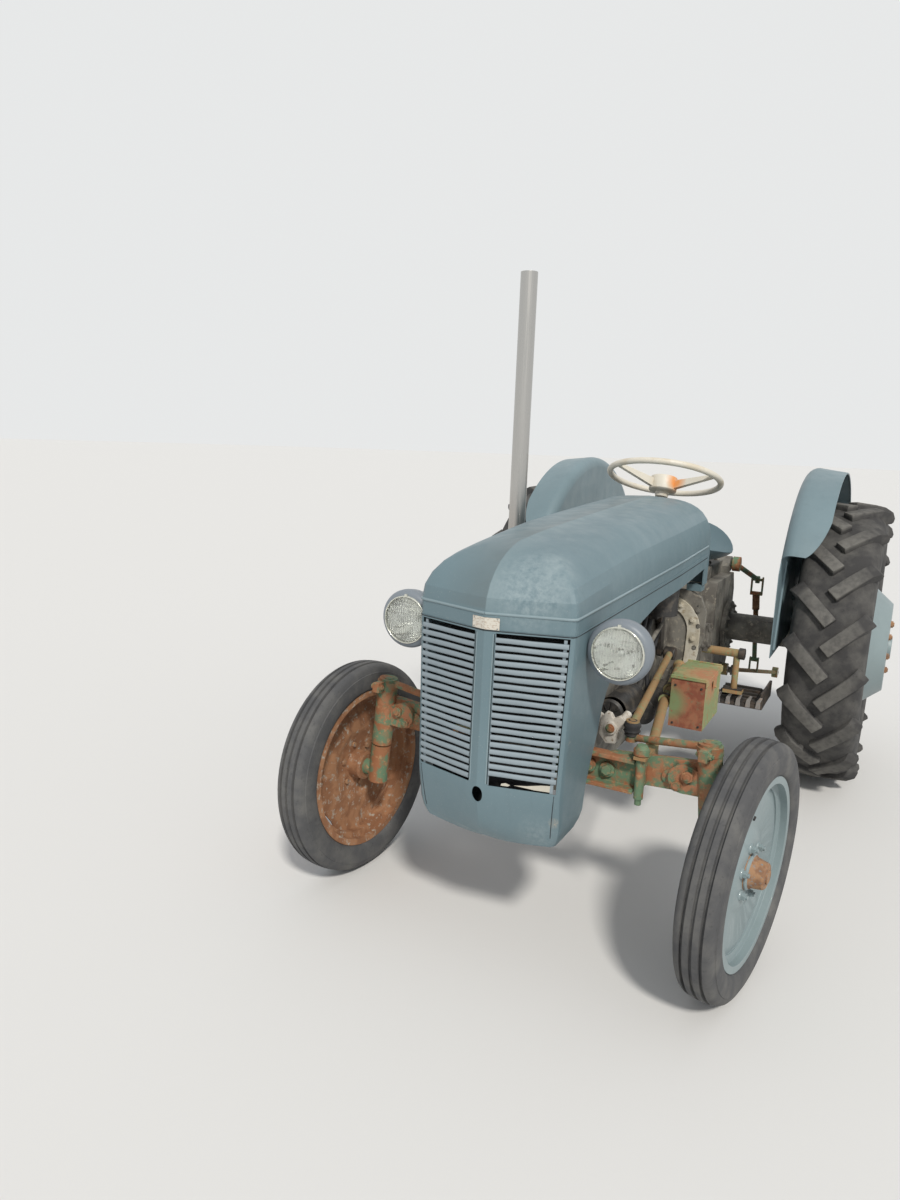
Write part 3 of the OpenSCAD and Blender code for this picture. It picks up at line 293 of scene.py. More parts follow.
def towards(start, end):
    """Moves the origin to the first point and turns Z to run to the second."""
    return Matrix.Translation(start) @ (end - start).to_track_quat("Z", "Y").to_matrix().to_4x4()


def rotated(degrees, axis):
    """A turn by so many degrees about an axis."""
    return Matrix.Rotation(math.radians(degrees), 4, axis)


def on_ellipse(degrees, wide, tall, middle=(0, 0)):
    """The point of an ellipse with two half sizes, at an angle from the first axis."""
    angle = math.radians(degrees)
    return middle[0] + wide * math.cos(angle), middle[1] + tall * math.sin(angle)


def rod(bm, radius, start, end, segments, tip=None):
    """A round bar between two points, with its radius in millimetres, or a cone with a tip radius."""
    length = (end - start).length
    place = towards(start, end) @ Matrix.Translation((0, 0, length / 2))
    wide, narrow = radius / 1000, (radius if tip is None else tip) / 1000
    bmesh.ops.create_cone(bm, cap_ends=True, segments=segments, radius1=wide, radius2=narrow,
                          depth=length, matrix=place)


def block(bm, low, high):
    """A box between two corners."""
    shape = Matrix.Translation((low + high) / 2) @ Matrix.Diagonal((*(high - low), 1))
    return bmesh.ops.create_cube(bm, size=1, matrix=shape)["verts"]


def prism(bm, outline, low, high, place, steps=1):
    """A solid with an outline of [x, y] pairs, from low to high along Z, in millimetres at a place."""
    verts = [bm.verts.new(place @ Vector((x / 1000, y / 1000, low / 1000))) for x, y in outline]
    faces = [bm.faces.new(verts)]
    rise = place.to_3x3() @ Vector((0, 0, (high - low) / steps / 1000))
    for _ in range(steps):
        pulled = bmesh.ops.extrude_face_region(bm, geom=faces)["geom"]
        faces = [part for part in pulled if isinstance(part, bmesh.types.BMFace)]
        top = [part for part in pulled if isinstance(part, bmesh.types.BMVert)]
        bmesh.ops.translate(bm, vec=rise, verts=top)


def spun(bm, profile, place, steps, closed=True):
    """Adds a ring turned about Z from a profile of [radius, height] pairs in millimetres."""
    ring, mesh = bmesh.new(), bpy.data.meshes.new("ring")
    verts = [ring.verts.new((radius / 1000, 0, across / 1000)) for radius, across in profile]
    lines = [ring.edges.new(pair) for pair in zip(verts, verts[1:] + (verts[:1] if closed else []))]
    bmesh.ops.spin(ring, geom=verts + lines, axis=(0, 0, 1), cent=(0, 0, 0), steps=steps,
                   angle=math.tau, use_merge=True)
    bmesh.ops.transform(ring, matrix=place, verts=ring.verts)
    ring.to_mesh(mesh)
    ring.free()
    bm.from_mesh(mesh)
    bpy.data.meshes.remove(mesh)


def ease_edges(bm, offset):
    """Rounds every edge of a bmesh by an offset in metres."""
    bmesh.ops.bevel(bm, geom=bm.edges[:], offset=offset, segments=2, affect="EDGES", profile=0.5,
                    material=-1, clamp_overlap=True)


def bolt(bm, foot, out, across, head):
    """A hexagon head on a washer, with its stud's end, on a face at foot; out is the way that it points."""
    out = Vector(out).normalized()
    rod(bm, across * 1.25, foot - out * 0.001, foot + out * 0.0022, 20)
    rod(bm, across, foot, foot + out * head / 1000, 6)
    rod(bm, across * 0.55, foot + out * head / 1000, foot + out * (head + 4) / 1000, 12)


casting_paint = worn_coat("dirty_casting_paint",
                          (0.20, 0.19, 0.165), (0.12, 0.11, 0.095), (0.33, 0.30, 0.24), (0.028, 0.025, 0.022),
                          (0.09, 0.02, 0.12), (0.5, 0.6, 0.5))
for node in ("front_bolster", "engine_block", "cylinder_head", "oil_sump", "bell_housing", "gearbox",
             "centre_housing", "axle_trumpets", "lift_cover", "steering_box", "water_pump", "bonnet_hinge"):
    dressed(node, node + "_casting", casting_paint, 0.005, rounds=3)

casting_bolts = bmesh.new()
for x, z in ((232, 800), (240, 740), (232, 655), (205, 560), (180, 480), (160, 425)):
    for side in (1, -1):                     # down both sides of the clutch housing's front
        bolt(casting_bolts, at(side * (x - 14), 1030, z), (0, -1, 0), 10, 8)
for y in range(160, 720, 90):
    for side in (1, -1):                     # along the sump's joint
        bolt(casting_bolts, at(side * 98, y, 478), (side, 0, -0.15), 7, 6)
for y in range(180, 700, 100):
    for side in (1, -1):                     # along the cylinder head
        bolt(casting_bolts, at(side * 84, y, 922), (0, 0, 1), 8, 8)
for turn in range(0, 360, 30):
    for side in (1, -1):                     # round both axle trumpets' inner flanges
        y, z = on_ellipse(turn, 98, 98, (WHEELBASE, REAR_AXLE_Z))
        bolt(casting_bolts, at(side * 212, y, z), (side, 0, 0), 8, 7)
for x, y in ((110, 1560), (110, 1700), (110, 1830), (-110, 1560), (-110, 1700), (-110, 1830), (0, 1545)):
    bolt(casting_bolts, at(x, y, 889), (0, 0, 1), 8, 7)      # on the lift cover
for x, z in ((-130, 730), (130, 730), (-130, 520), (130, 520), (-130, 620), (130, 620)):
    bolt(casting_bolts, at(x, 1908, z), (0, 1, 0), 8, 7)     # on the rear face
made("casting_bolts", casting_bolts, casting_paint, "chassis", 30)

# A pale cast bracket with a rusty bolt stands out at the engine's front corner, above the axle
FACE_ON = rotated(90, "X")                   # a prism's outline then lies in X and Z, and it runs forwards
pale_metal = worn_coat("pale_bare_casting",
                       (0.50, 0.46, 0.40), (0.62, 0.59, 0.53), (0.26, 0.19, 0.13), (0.07, 0.055, 0.045),
                       (0.05, 0.012, 0.025), (0.5, 0.6, 0.58))
bracket = bmesh.new()
ear = [(168, 588), (172, 636), (186, 656), (200, 652), (208, 638), (226, 650), (243, 640), (241, 620),
       (226, 608), (232, 588), (218, 566), (190, 562)]
prism(bracket, ear, -112, -92, FRONT_AXLE @ FACE_ON)
rod(bracket, 19, at(203, 84, 612), at(203, 118, 612), 28)
rod(bracket, 15, at(184, 104, 622), at(112, 150, 640), 20)
rod(bracket, 12, at(232, 102, 636), at(240, 132, 650), 20)
ease_edges(bracket, 0.003)
made("pale_corner_bracket", bracket, pale_metal, "chassis", 40)

# ---- Front axle ----
# A channel beam with a flat arm bolted to each end, and radius rods back to the clutch housing.
# Thick old green paint that has flaked down to orange and brown rust.


def near(tree, middle, reach, blur):
    """A mask that is 1 within reach metres of a point and fades out over blur."""
    place, distance = tree.nodes.new("ShaderNodeTexCoord"), tree.nodes.new("ShaderNodeVectorMath")
    distance.operation = "DISTANCE"
    distance.inputs[1].default_value = middle
    tree.links.new(place.outputs["Object"], distance.inputs[0])
    return band(tree, distance.outputs["Value"], reach, reach + blur, 1.0, 0.0)


def stain_and_highlight_patch(material, middle, reach, blur, tint, size=0.02, low=0.35, high=0.65):
    """A patchy tint of another colour on a material, round a point of the tractor: a stain, and on the bonnet
    also a painted highlight.
    """
    tree = material.node_tree
    surface = tree.nodes["Principled BSDF"]
    patches = band(tree, grain(tree, size, 7, rough=0.65), low, high)
    mask = both_masks(tree, near(tree, middle, reach, blur), patches)
    colour = surface.inputs["Base Color"].links[0].from_socket
    tree.links.new(lay_over(tree, mask, colour, tint), surface.inputs["Base Color"])


rusty_green = worn_coat("rusty_green_paint",
                        (0.125, 0.205, 0.12), (0.30, 0.125, 0.055), (0.42, 0.24, 0.12), (0.07, 0.035, 0.02),
                        (0.045, 0.014, 0.05), (0.52, 0.60, 0.60), 0.78)
rusty_bar = worn_coat("rusty_ochre_bar",
                      (0.30, 0.195, 0.090), (0.24, 0.25, 0.125), (0.42, 0.165, 0.065), (0.08, 0.045, 0.025),
                      (0.04, 0.012, 0.05), (0.55, 0.60, 0.60), 0.78)
for side in (1, -1):                         # the beam's ends and top flange have lost most of their paint
    for x, y, z, reach, blur in ((440, -10, 560, 0.05, 0.08), (250, -30, 596, 0.02, 0.05)):
        stain_and_highlight_patch(rusty_green, at(side * x, y, z), reach, blur, (0.36, 0.160, 0.080), 0.022, 0.47, 0.55)
dressed("front_axle", "axle_channel", rusty_green, 0.003, rounds=3)
dressed("axle_ends", "axle_arms", rusty_green, 0.003, rounds=3)
dressed("radius_rods", "radius_rod_pair", rusty_bar, 0.002)
PIN_X, PIN_Y = 328, -22                      # the upright pin through the beam's end
axle_nuts = bmesh.new()
for side in (1, -1):
    for x, z, sides in ((178, 529, 28), (232, 527, 6)):
        rod(axle_nuts, 21, at(side * x, -12, z), at(side * x, 0, z), 28)
        rod(axle_nuts, 15, at(side * x, -20, z), at(side * x, -10, z), sides)
    rod(axle_nuts, 20, at(side * 400, 2, 541), at(side * 400, 10, 541), 28)
    bolt(axle_nuts, at(side * 452, -12, 560), (0, -1, 0), 17, 12)
    bolt(axle_nuts, at(side * 424, -12, 528), (0, -1, 0), 14, 10)
    for radius, low, high, sides, tip in ((22, 596, 612, 28, None), (20, 612, 624, 28, 13),
                                          (9, 452, 472, 20, None)):
        rod(axle_nuts, radius, at(side * PIN_X, PIN_Y, low), at(side * PIN_X, PIN_Y, high), sides, tip)
bolt(axle_nuts, at(203, 84, 612), (0, -1, 0), 11, 8)
made("axle_nuts_and_bushes", axle_nuts, rusty_green, "chassis", 30, 0.0012)

# ---- Steering ----
# Forged knuckles on kingpins, with a steering arm clamped on top of each.
# Drop arms and long drag links on ball joints turn them; rubber boots keep the dirt out.
boot_rubber = worn_coat("cracked_boot_rubber",
                        (0.022, 0.022, 0.024), (0.05, 0.048, 0.045), (0.10, 0.085, 0.07), (0.01, 0.01, 0.01),
                        (0.03, 0.008, 0.05), (0.6, 0.66, 0.6), 0.75)
greasy_black = worn_coat("greasy_black_iron", (0.028, 0.025, 0.022), (0.06, 0.045, 0.034),
                         (0.14, 0.10, 0.07), (0.012, 0.011, 0.01),
                         (0.05, 0.014, 0.05), (0.55, 0.66, 0.6), 0.55)
SIDES = (("left", 1), ("right", -1))
LEAN = math.radians(5.8)                     # how far the kingpins lean in at the top
KINGPIN = Vector((0.530, 0, 0.344))
PIN_WAY = Vector((-math.sin(LEAN), 0, math.cos(LEAN)))
REST_ANGLE = {1: -8, -1: 4}                  # how far each knuckle is turned at rest, in degrees
FRONT_BALL = {1: (0.2727, 0.0646, 0.6417), -1: (0.2644, 0.0154, 0.6408)}     # the drag links' balls
REAR_BALL = {1: (872.6, 657.6), -1: (823.4, 655.7)}


def mirrored(sign):
    """The left side as it is, or turned over to the right side for -1."""
    return Matrix.Diagonal((sign, 1, 1, 1))


def steered(sign):
    """From a place drawn on the left side, straight ahead, to its own side and rest angle."""
    turn = Matrix.Translation(KINGPIN) @ rotated(REST_ANGLE[sign], PIN_WAY) @ Matrix.Translation(-KINGPIN)
    return FRONT_AXLE @ mirrored(sign) @ turn


for side, sign in SIDES:
    dressed("knuckle_" + side, "steering_knuckle_" + side, rusty_green, 0.002)
    dressed("drop_arm_" + side, "drop_arm_forging_" + side, greasy_black, 0.003)
    dressed("drag_link_" + side, "drag_link_bar_" + side, rusty_bar, 0.002)
    # The clamp on the kingpin's top, drawn straight ahead and then turned to its rest angle
    clamp = bmesh.new()
    top = KINGPIN + PIN_WAY * 0.292
    rod(clamp, 34, top - PIN_WAY * 0.008, top + PIN_WAY * 0.018, 32)
    block(clamp, top + Vector((-0.010, -0.062, -0.010)), top + Vector((0.014, -0.026, 0.020)))
    bolt(clamp, top + Vector((0.014, -0.048, 0.006)), (1, 0, 0), 10, 9)
    bolt(clamp, top + Vector((-0.010, -0.048, 0.006)), (-1, 0, 0), 9, 7)
    bmesh.ops.transform(clamp, matrix=steered(sign), verts=clamp.verts)
    made("kingpin_clamp_" + side, clamp, rusty_green, "knuckle_" + side, 30, 0.0015)
    # The rubber boot round the drag link's front ball, which hangs in folds
    folds = [(9, -34), (15, -33), (21, -27), (19, -22), (24, -15), (21, -9), (25, -1), (22, 8), (16, 14),
             (9, 16)]
    boot = bmesh.new()
    spun(boot, folds, FRONT_AXLE @ mirrored(sign) @ Matrix.Translation(FRONT_BALL[sign]), 36)
    made("drag_link_boot_" + side, boot, boot_rubber, "drag_link_" + side, 60)
    # The greasy socket at its rear end, on the drop arm's ball
    y, z = REAR_BALL[sign]
    socket = bmesh.new()
    rod(socket, 24, at(sign * 144, y, z), at(sign * 187, y, z), 32)
    made("drag_link_socket_" + side, socket, greasy_black, "drag_link_" + side, 34, 0.006)

# ---- Front wheels ----
# Pressed steel discs in stepped rims, each on a cast hub with six nuts, and tyres with four ribs.
# The left disc is painted; the right one is turned inside out, bare, rusty and chalked with old paint.


def old_paint(name, base, chalk):
    """Faded tractor paint: even and satin, with chalky patches, rain streaks, dust specks and a dull skin."""
    material, tree, surface = shader(name, 0.45, coat=0.06)
    faded = tuple(channel * 1.22 + 0.012 for channel in base)
    dull = tuple(channel * 0.72 for channel in base)
    dust = (0.36, 0.37, 0.35)
    colour = lay_over(tree, band(tree, grain(tree, 0.30, 5), 0.42, 0.68, 0.0, chalk), base, faded)
    streaks = band(tree, grain(tree, 0.022, 6, (1, 1, 0.10)), 0.55, 0.78, 0.0, 0.25)
    colour = lay_over(tree, streaks, colour, dull)
    specks = band(tree, grain(tree, 0.0028, 3), 0.665, 0.70, 0.0, 0.55)
    colour = lay_over(tree, specks, colour, dust)
    flecks = band(tree, grain(tree, 0.045, 10, rough=0.75), 0.655, 0.70, 0.0, 0.45)
    colour = lay_over(tree, flecks, colour, dust)
    tree.links.new(colour, surface.inputs["Base Color"])
    tree.links.new(band(tree, grain(tree, 0.06, 6), 0.3, 0.75, 0.38, 0.58), surface.inputs["Roughness"])
    emboss(tree, surface, grain(tree, 0.012, 3), 0.10, 0.0006)
    emboss(tree, surface, grain(tree, 0.13, 2), 0.25, 0.0025)
    return material


def tyre_rubber(name, base, dust, worn_from=None):
    """Old tyre rubber, grey and dusty; worn_from is the rear tread's radius where its tops turn pale."""
    material, tree, surface = shader(name, 0.82, specular=0.3)
    colour = lay_over(tree, band(tree, grain(tree, 0.07, 8), 0.42, 0.70, 0.0, 0.6), base, dust)
    pores = band(tree, grain(tree, 0.008, 6), 0.58, 0.70, 0.0, 0.4)
    colour = lay_over(tree, pores, colour, tuple(0.5 * channel for channel in base))
    if worn_from:
        place, reach = tree.nodes.new("ShaderNodeTexCoord"), tree.nodes.new("ShaderNodeVectorMath")
        flat = tree.nodes.new("ShaderNodeMapping")
        flat.inputs["Location"].default_value = (0, -(WHEELBASE / 1000 + AXLE_Y), -REAR_AXLE_Z / 1000)
        flat.inputs["Scale"].default_value = (0, 1, 1)
        reach.operation = "LENGTH"
        tree.links.new(place.outputs["Object"], flat.inputs["Vector"])
        tree.links.new(flat.outputs["Vector"], reach.inputs[0])
        tops = band(tree, reach.outputs["Value"], worn_from, worn_from + 0.012, 0.0, 0.85)
        tops = both_masks(tree, tops, band(tree, grain(tree, 0.02, 6), 0.3, 0.6, 0.35, 1.0))
        colour = lay_over(tree, tops, colour, tuple(1.25 * channel for channel in dust))
    tree.links.new(colour, surface.inputs["Base Color"])
    emboss(tree, surface, grain(tree, 0.003, 4), 0.4, 0.0006)
    emboss(tree, surface, grain(tree, 0.02, 6), 0.35, 0.0012)
    return material


def front_place(sign):
    """From the wheel's own axis, Z outwards, to its place on the stub axle."""
    return steered(sign) @ (Matrix.Translation((0.610, 0, 0.344)) @ rotated(1.5, "Y") @ rotated(90, "Y"))


wheel_paint = old_paint("faded_wheel_paint", (0.215, 0.270, 0.280), 0.5)
bare_rust = worn_coat("bare_wheel_rust",
                      (0.25, 0.115, 0.055), (0.34, 0.17, 0.085), (0.40, 0.37, 0.31), (0.10, 0.045, 0.025),
                      (0.06, 0.018, 0.05), (0.5, 0.60, 0.60), 0.85)
hub_rust = worn_coat("hub_rust",
                     (0.23, 0.12, 0.065), (0.34, 0.19, 0.10), (0.22, 0.24, 0.25), (0.07, 0.045, 0.03),
                     (0.03, 0.010, 0.04), (0.5, 0.60, 0.60), 0.8)
front_rubber = tyre_rubber("grey_front_rubber", (0.082, 0.083, 0.086), (0.170, 0.166, 0.155))
CROWN, CROWN_FALL = 343.3, 0.0028            # the tread's radius, and how fast it falls to the edges
tread = []
for middle, deep in ((-24, 9), (0, 7), (24, 9)):     # the grooves between the ribs
    for step in (-4.8, -3.2, 3.2, 4.8):
        rib = CROWN - CROWN_FALL * (middle + step) ** 2
        tread.append((rib - (deep if abs(step) < 4 else 0), middle + step))
wall = [(258, 43), (262, 48), (272, 52), (290, 54), (308, 53.5), (314, 53), (315.5, 50.5), (328, 47),
        (334, 43), (337.5, 38), (339.5, 34)]
front_profile = [(r, -u) for r, u in wall] + tread + [(r, u) for r, u in reversed(wall)]
slots = bmesh.new()                          # four crescents are cut through the right disc
for turn in range(20, 380, 90):
    crescent = [on_ellipse(t, 214, 214) for t in range(0, 37, 6)]
    for t in range(33, 0, -6):
        inner = 198 + 10 * ((t - 18) / 18) ** 2
        crescent.append(on_ellipse(t, inner, inner))
    prism(slots, crescent, -30, 30, front_place(-1) @ rotated(turn, "Z"))
HUB_CAP = [(0, 67), (31, 67), (35.5, 62.5), (40.5, 35), (47.5, 27), (51, 21), (51, 18), (0, 18)]
for side, sign in SIDES:
    place, body = front_place(sign), "front_wheel_" + side
    if sign > 0:
        dressed("front_wheel_left", "front_wheel_disc_left", wheel_paint, 0.0012, 30)
    else:
        dressed("front_wheel_right", "front_wheel_disc_right", bare_rust, 0.0012, 30, cutter=slots)
    tyre = bmesh.new()
    spun(tyre, front_profile, place, 144)
    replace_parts(made("front_tyre_ribs_" + side, tyre, front_rubber, body, 40), "front_tyre_" + side)
    hub = bmesh.new()
    spun(hub, HUB_CAP, place, 48, closed=False)
    rod(hub, 18, place @ Vector((0, 0, 0.064)), place @ Vector((0, 0, 0.071)), 32)
    made("front_hub_cap_" + side, hub, hub_rust, body, 32, 0.0012)
    nuts = bmesh.new()
    for turn in range(12, 372, 60):          # washer, nut and stud outside, and the stud's head inside
        spot = rotated(turn, "Z") @ Vector((0.070, 0, 0.0195))
        for radius, low, high, sides, tip in ((15, 0, 0.005, 20, 13), (10.5, 0.004, 0.015, 6, None),
                                              (6, 0.014, 0.021, 12, None), (9, -0.007, -0.014, 6, None)):
            start, end = (place @ (spot + Vector((0, 0, out))) for out in (low, high))
            rod(nuts, radius, start, end, sides, tip)
    made("front_wheel_nuts_" + side, nuts, wheel_paint if sign > 0 else hub_rust, body, 30, 0.0008)
    stem = bmesh.new()
    foot = rotated(205, "Z") @ Vector((0.221, 0, 0.004))
    for radius, low, high in ((4.5, (0, 0, 0), (0.012, 0.006, 0.030)),
                              (6, (0.010, 0.005, 0.024), (0.014, 0.007, 0.036))):
        rod(stem, radius, place @ (foot + Vector(low)), place @ (foot + Vector(high)), 16)
    made("front_valve_" + side, stem, boot_rubber, body, 30, 0.0006)

# ---- Rear wheels ----
# Wide tyres with 17 slanting bars on each side of the tread, whose tops are worn and dusty.
# The dished discs are bolted to the hubs and to lugs round the rims.
rear_rubber = tyre_rubber("dusty_rear_rubber", (0.048, 0.047, 0.047), (0.145, 0.140, 0.128), 0.584)
REAR_LUGS, LUG_WIDE, LUG_FOOT, LUG_LEAN, CARCASS = 17, 50, -18, 45, 572
lug_slant = math.cos(math.radians(LUG_LEAN))
lug_long = 132 / lug_slant
lug_half = (lug_long - LUG_FOOT + LUG_WIDE) / 2 * lug_slant
lug_top = math.sqrt(REAR_AXLE_Z ** 2 - lug_half ** 2)        # its ends reach the tyre's full radius
lug_side = [(CARCASS - 14, LUG_FOOT), (lug_top, LUG_FOOT), (lug_top - 1, lug_long * 0.45),
            (lug_top - 5, lug_long * 0.72), (lug_top - 22, lug_long * 0.93), (CARCASS - 26, lug_long),
            (CARCASS - 46, lug_long - 6), (CARCASS - 46, lug_long - 26)]
bar = bmesh.new()
prism(bar, lug_side, -LUG_WIDE / 2, LUG_WIDE / 2, Matrix())
for vert in bar.verts:                       # the bar's foot is wider than its top
    if vert.co.x < (CARCASS + 2) / 1000:
        vert.co.z *= 1.16
bmesh.ops.recalc_face_normals(bar, faces=bar.faces)
ease_edges(bar, 0.004)
bar_mesh = bpy.data.meshes.new("tread_bar")
bar.to_mesh(bar_mesh)
bar.free()
REAR_WALL = [(378.5, 117), (386, 122), (400, 130), (430, 140), (452, 142), (480, 141.5), (505, 139),
             (524, 135), (538, 130), (552, 120), (562, 106), (569, 84), (572, 50), (573, 18)]
for side, sign in SIDES:
    hub = Matrix.Translation((0.660, WHEELBASE / 1000, REAR_AXLE_Z / 1000))
    place, body = FRONT_AXLE @ mirrored(sign) @ hub @ rotated(90, "Y"), "rear_wheel_" + side
    dressed(body, "rear_wheel_disc_" + side, wheel_paint, 0.002, 30)
    tyre = bmesh.new()
    spun(tyre, [(r, -u) for r, u in REAR_WALL] + [(r, u) for r, u in reversed(REAR_WALL)], place, 144)
    for i in range(REAR_LUGS):
        for face_side in (-1, 1):            # the two rows are staggered by half a pitch
            turn = (i + (face_side + 1) / 4) * math.tau / REAR_LUGS - math.asin(lug_half / REAR_AXLE_Z)
            along_tread = (lug_long + LUG_FOOT) / 2000 * lug_slant
            stand = Matrix.Rotation(turn, 4, "Z") @ Matrix.Translation((0, along_tread, face_side * 0.008))
            stand = stand @ rotated(face_side * LUG_LEAN, "X") @ rotated(90, "X")
            stand = stand @ Matrix.Diagonal((1, face_side, 1, 1))
            before = len(tyre.verts)
            tyre.from_mesh(bar_mesh)
            tyre.verts.ensure_lookup_table()
            bmesh.ops.transform(tyre, matrix=place @ stand, verts=tyre.verts[before:])
    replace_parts(made("rear_tyre_bars_" + side, tyre, rear_rubber, body, 34), "rear_tyre_" + side)
    nuts = bmesh.new()
    for turn in range(10, 370, 45):          # on the hub, and on the lugs round the rim
        spoke = place @ rotated(turn, "Z")
        for radius, out, low, high, sides in ((17, 0.105, 0.196, 0.201, 24), (13, 0.105, 0.200, 0.209, 6),
                                              (8, 0.105, 0.208, 0.213, 12), (14, 0.326, 0.036, 0.048, 20),
                                              (11, 0.326, 0.047, 0.060, 6)):
            rod(nuts, radius, spoke @ Vector((out, 0, low)), spoke @ Vector((out, 0, high)), sides)
    made("rear_wheel_nuts_" + side, nuts, hub_rust, body, 30, 0.001)
    stem = bmesh.new()
    for radius, low, high in ((5, 0.050, 0.085), (7, 0.076, 0.092)):
        rod(stem, radius, place @ Vector((0.300, 0.060, low)), place @ Vector((0.300, 0.060, high)), 16)
    made("rear_valve_" + side, stem, boot_rubber, body, 30, 0.0006)

# ---- Engine fittings, radiator and fuel tank ----
# Black pressed and cast parts on the engine: dynamo with its vaned pulley, starter, air cleaner, hoses.
# Oily black paint, with brown patches, specks of dust and dark drips.


def ridges(tree, axis, scale, waviness=0.0):
    """A pattern of even ridges across an axis."""
    place, wave = tree.nodes.new("ShaderNodeTexCoord"), tree.nodes.new("ShaderNodeTexWave")
    wave.bands_direction = axis
    wave.inputs["Scale"].default_value = scale
    wave.inputs["Distortion"].default_value = waviness
    tree.links.new(place.outputs["Object"], wave.inputs["Vector"])
    return wave.outputs["Fac"]


engine_black = worn_coat("oily_black_paint", (0.030, 0.029, 0.028), (0.075, 0.066, 0.055),
                         (0.15, 0.125, 0.10), (0.012, 0.012, 0.011),
                         (0.05, 0.012, 0.05), (0.55, 0.63, 0.6), 0.5)
dull_rust = worn_coat("dark_rust",
                      (0.20, 0.095, 0.05), (0.30, 0.16, 0.085), (0.10, 0.055, 0.035), (0.05, 0.03, 0.02),
                      (0.05, 0.014, 0.05), (0.5, 0.58, 0.6), 0.85)
core_black, core_tree, core_surface = shader("radiator_core", 0.6, colour=(0.018, 0.018, 0.019))
emboss(core_tree, core_surface, ridges(core_tree, "X", 90), 0.8, 0.002)
dressed("radiator", "radiator_tanks", core_black, 0.003)
for node in ("fuel_tank", "dynamo", "starter", "air_cleaner"):
    dressed(node, node + "_shell", engine_black, 0.002, 30)
dressed("fan", "fan_blades", engine_black, 0.0006, 30)
dressed("exhaust_manifold", "manifold_casting", dull_rust, 0.004)
DYNAMO_X, DYNAMO_Z = 158, 612
dynamo_pulley = bmesh.new()
pulley_at = Matrix.Translation(at(DYNAMO_X, 212, DYNAMO_Z))
spun(dynamo_pulley, [(12, -9), (40, -9), (44, -6), (35, 0), (44, 6), (40, 9), (12, 9)],
     pulley_at @ FACE_ON, 48)
for turn in range(0, 360, 40):               # the slanting vanes of its fan
    vane = pulley_at @ rotated(turn, "Y") @ Matrix.Translation((0.027, -0.010, 0))
    vane = vane @ Matrix.Rotation(0.6, 4, "X") @ Matrix.Diagonal((0.026, 0.012, 0.0018, 1))
    bmesh.ops.create_cube(dynamo_pulley, size=1, matrix=vane)
bolt(dynamo_pulley, pulley_at.translation + Vector((0, -0.009, 0)), (0, -1, 0), 11, 9)
for y in (240, 412):                         # the dynamo's end plates
    rod(dynamo_pulley, 45.5, at(DYNAMO_X, y, DYNAMO_Z), at(DYNAMO_X, y + 12, DYNAMO_Z), 40)
made("dynamo_pulley", dynamo_pulley, engine_black, "chassis", 32, 0.0006)
pulleys = bmesh.new()
spun(pulleys, [(0, -14), (66, -14), (70, -10), (58, 0), (70, 10), (66, 14), (0, 14)],
     Matrix.Translation(at(0, 86, 560)) @ FACE_ON, 48, closed=False)
rod(pulleys, 18, at(0, 60, 560), at(0, 130, 560), 24)
spun(pulleys, [(10, -12), (52, -12), (56, -8), (46, 0), (56, 8), (52, 12), (10, 12)],
     Matrix.Translation(at(0, 44, 800)) @ FACE_ON, 48)
made("crank_and_fan_pulleys", pulleys, engine_black, "chassis", 32, 0.001)


def sweep(bm, route, radius, sides=14, fine=8):
    """Adds a round bar of a radius in millimetres along a smooth curve through points."""
    spots = []
    for i in range(len(route) - 1):
        a, b, c, d = route[max(i - 1, 0)], route[i], route[i + 1], route[min(i + 2, len(route) - 1)]
        for k in range(fine):
            t = k / fine
            bend, swing = 2 * a - 5 * b + 4 * c - d, 3 * b - a - 3 * c + d
            spots.append(0.5 * (2 * b + (c - a) * t + bend * t * t + swing * t ** 3))
    spots.append(route[-1])
    rings, up = [], Vector((0.1, 0.2, 1)).normalized()
    for i, spot in enumerate(spots):
        way = (spots[min(i + 1, len(spots) - 1)] - spots[max(i - 1, 0)]).normalized()
        over = way.cross(up if abs(way.dot(up)) < 0.95 else Vector((1, 0, 0))).normalized()
        up = over.cross(way).normalized()
        place = Matrix((over, up, way)).transposed().to_4x4()
        place.translation = spot
        ring = bmesh.ops.create_circle(bm, cap_ends=i in (0, len(spots) - 1), segments=sides,
                                       radius=radius / 1000, matrix=place)["verts"]
        lines = {line for vert in ring for line in vert.link_edges if line.other_vert(vert) in ring}
        rings.append(sorted(lines, key=lambda line: line.index))
    for before, after in zip(rings, rings[1:]):
        bmesh.ops.bridge_loops(bm, edges=before + after)


def tube(name, radius, material, points):
    """A hose or pipe on the chassis along a smooth curve through points in millimetres."""
    bm = bmesh.new()
    sweep(bm, [at(*point) for point in points], radius)
    made(name, bm, material, "chassis", 40)


tube("top_hose", 21, boot_rubber,
     [(0, -112, 1040), (10, -60, 1036), (20, 60, 1016), (20, 150, 1010)])
tube("bottom_hose", 19, boot_rubber,
     [(90, -112, 655), (112, -30, 652), (120, 60, 690), (60, 112, 742)])
tube("loom", 8, boot_rubber,
     [(150, 400, 720), (165, 460, 790), (150, 560, 850), (120, 660, 880), (130, 740, 905)])
tube("fuel_pipe", 4, engine_black,
     [(80, 930, 1050), (126, 900, 985), (134, 830, 900), (124, 760, 830), (108, 700, 760)])
tube("oil_hose", 11, boot_rubber,
     [(150, 480, 560), (158, 540, 640), (146, 600, 740), (130, 690, 820), (136, 760, 880)])
tube("starter_cable", 7, boot_rubber,
     [(170, 600, 566), (150, 640, 640), (140, 760, 730), (130, 860, 800), (110, 900, 900)])
tube("side_pipe", 8, casting_paint,
     [(160, 736, 793), (150, 640, 738), (150, 520, 665), (156, 400, 606), (160, 330, 580)])
PLUG_FIRST, PLUG_STEP = 200, 140
ignition = bmesh.new()
rod(ignition, 30, at(104, 420, 780), at(136, 420, 804), 32)              # the distributor's body
rod(ignition, 34, at(136, 420, 804), at(166, 420, 828), 32, tip=28)      # its cap
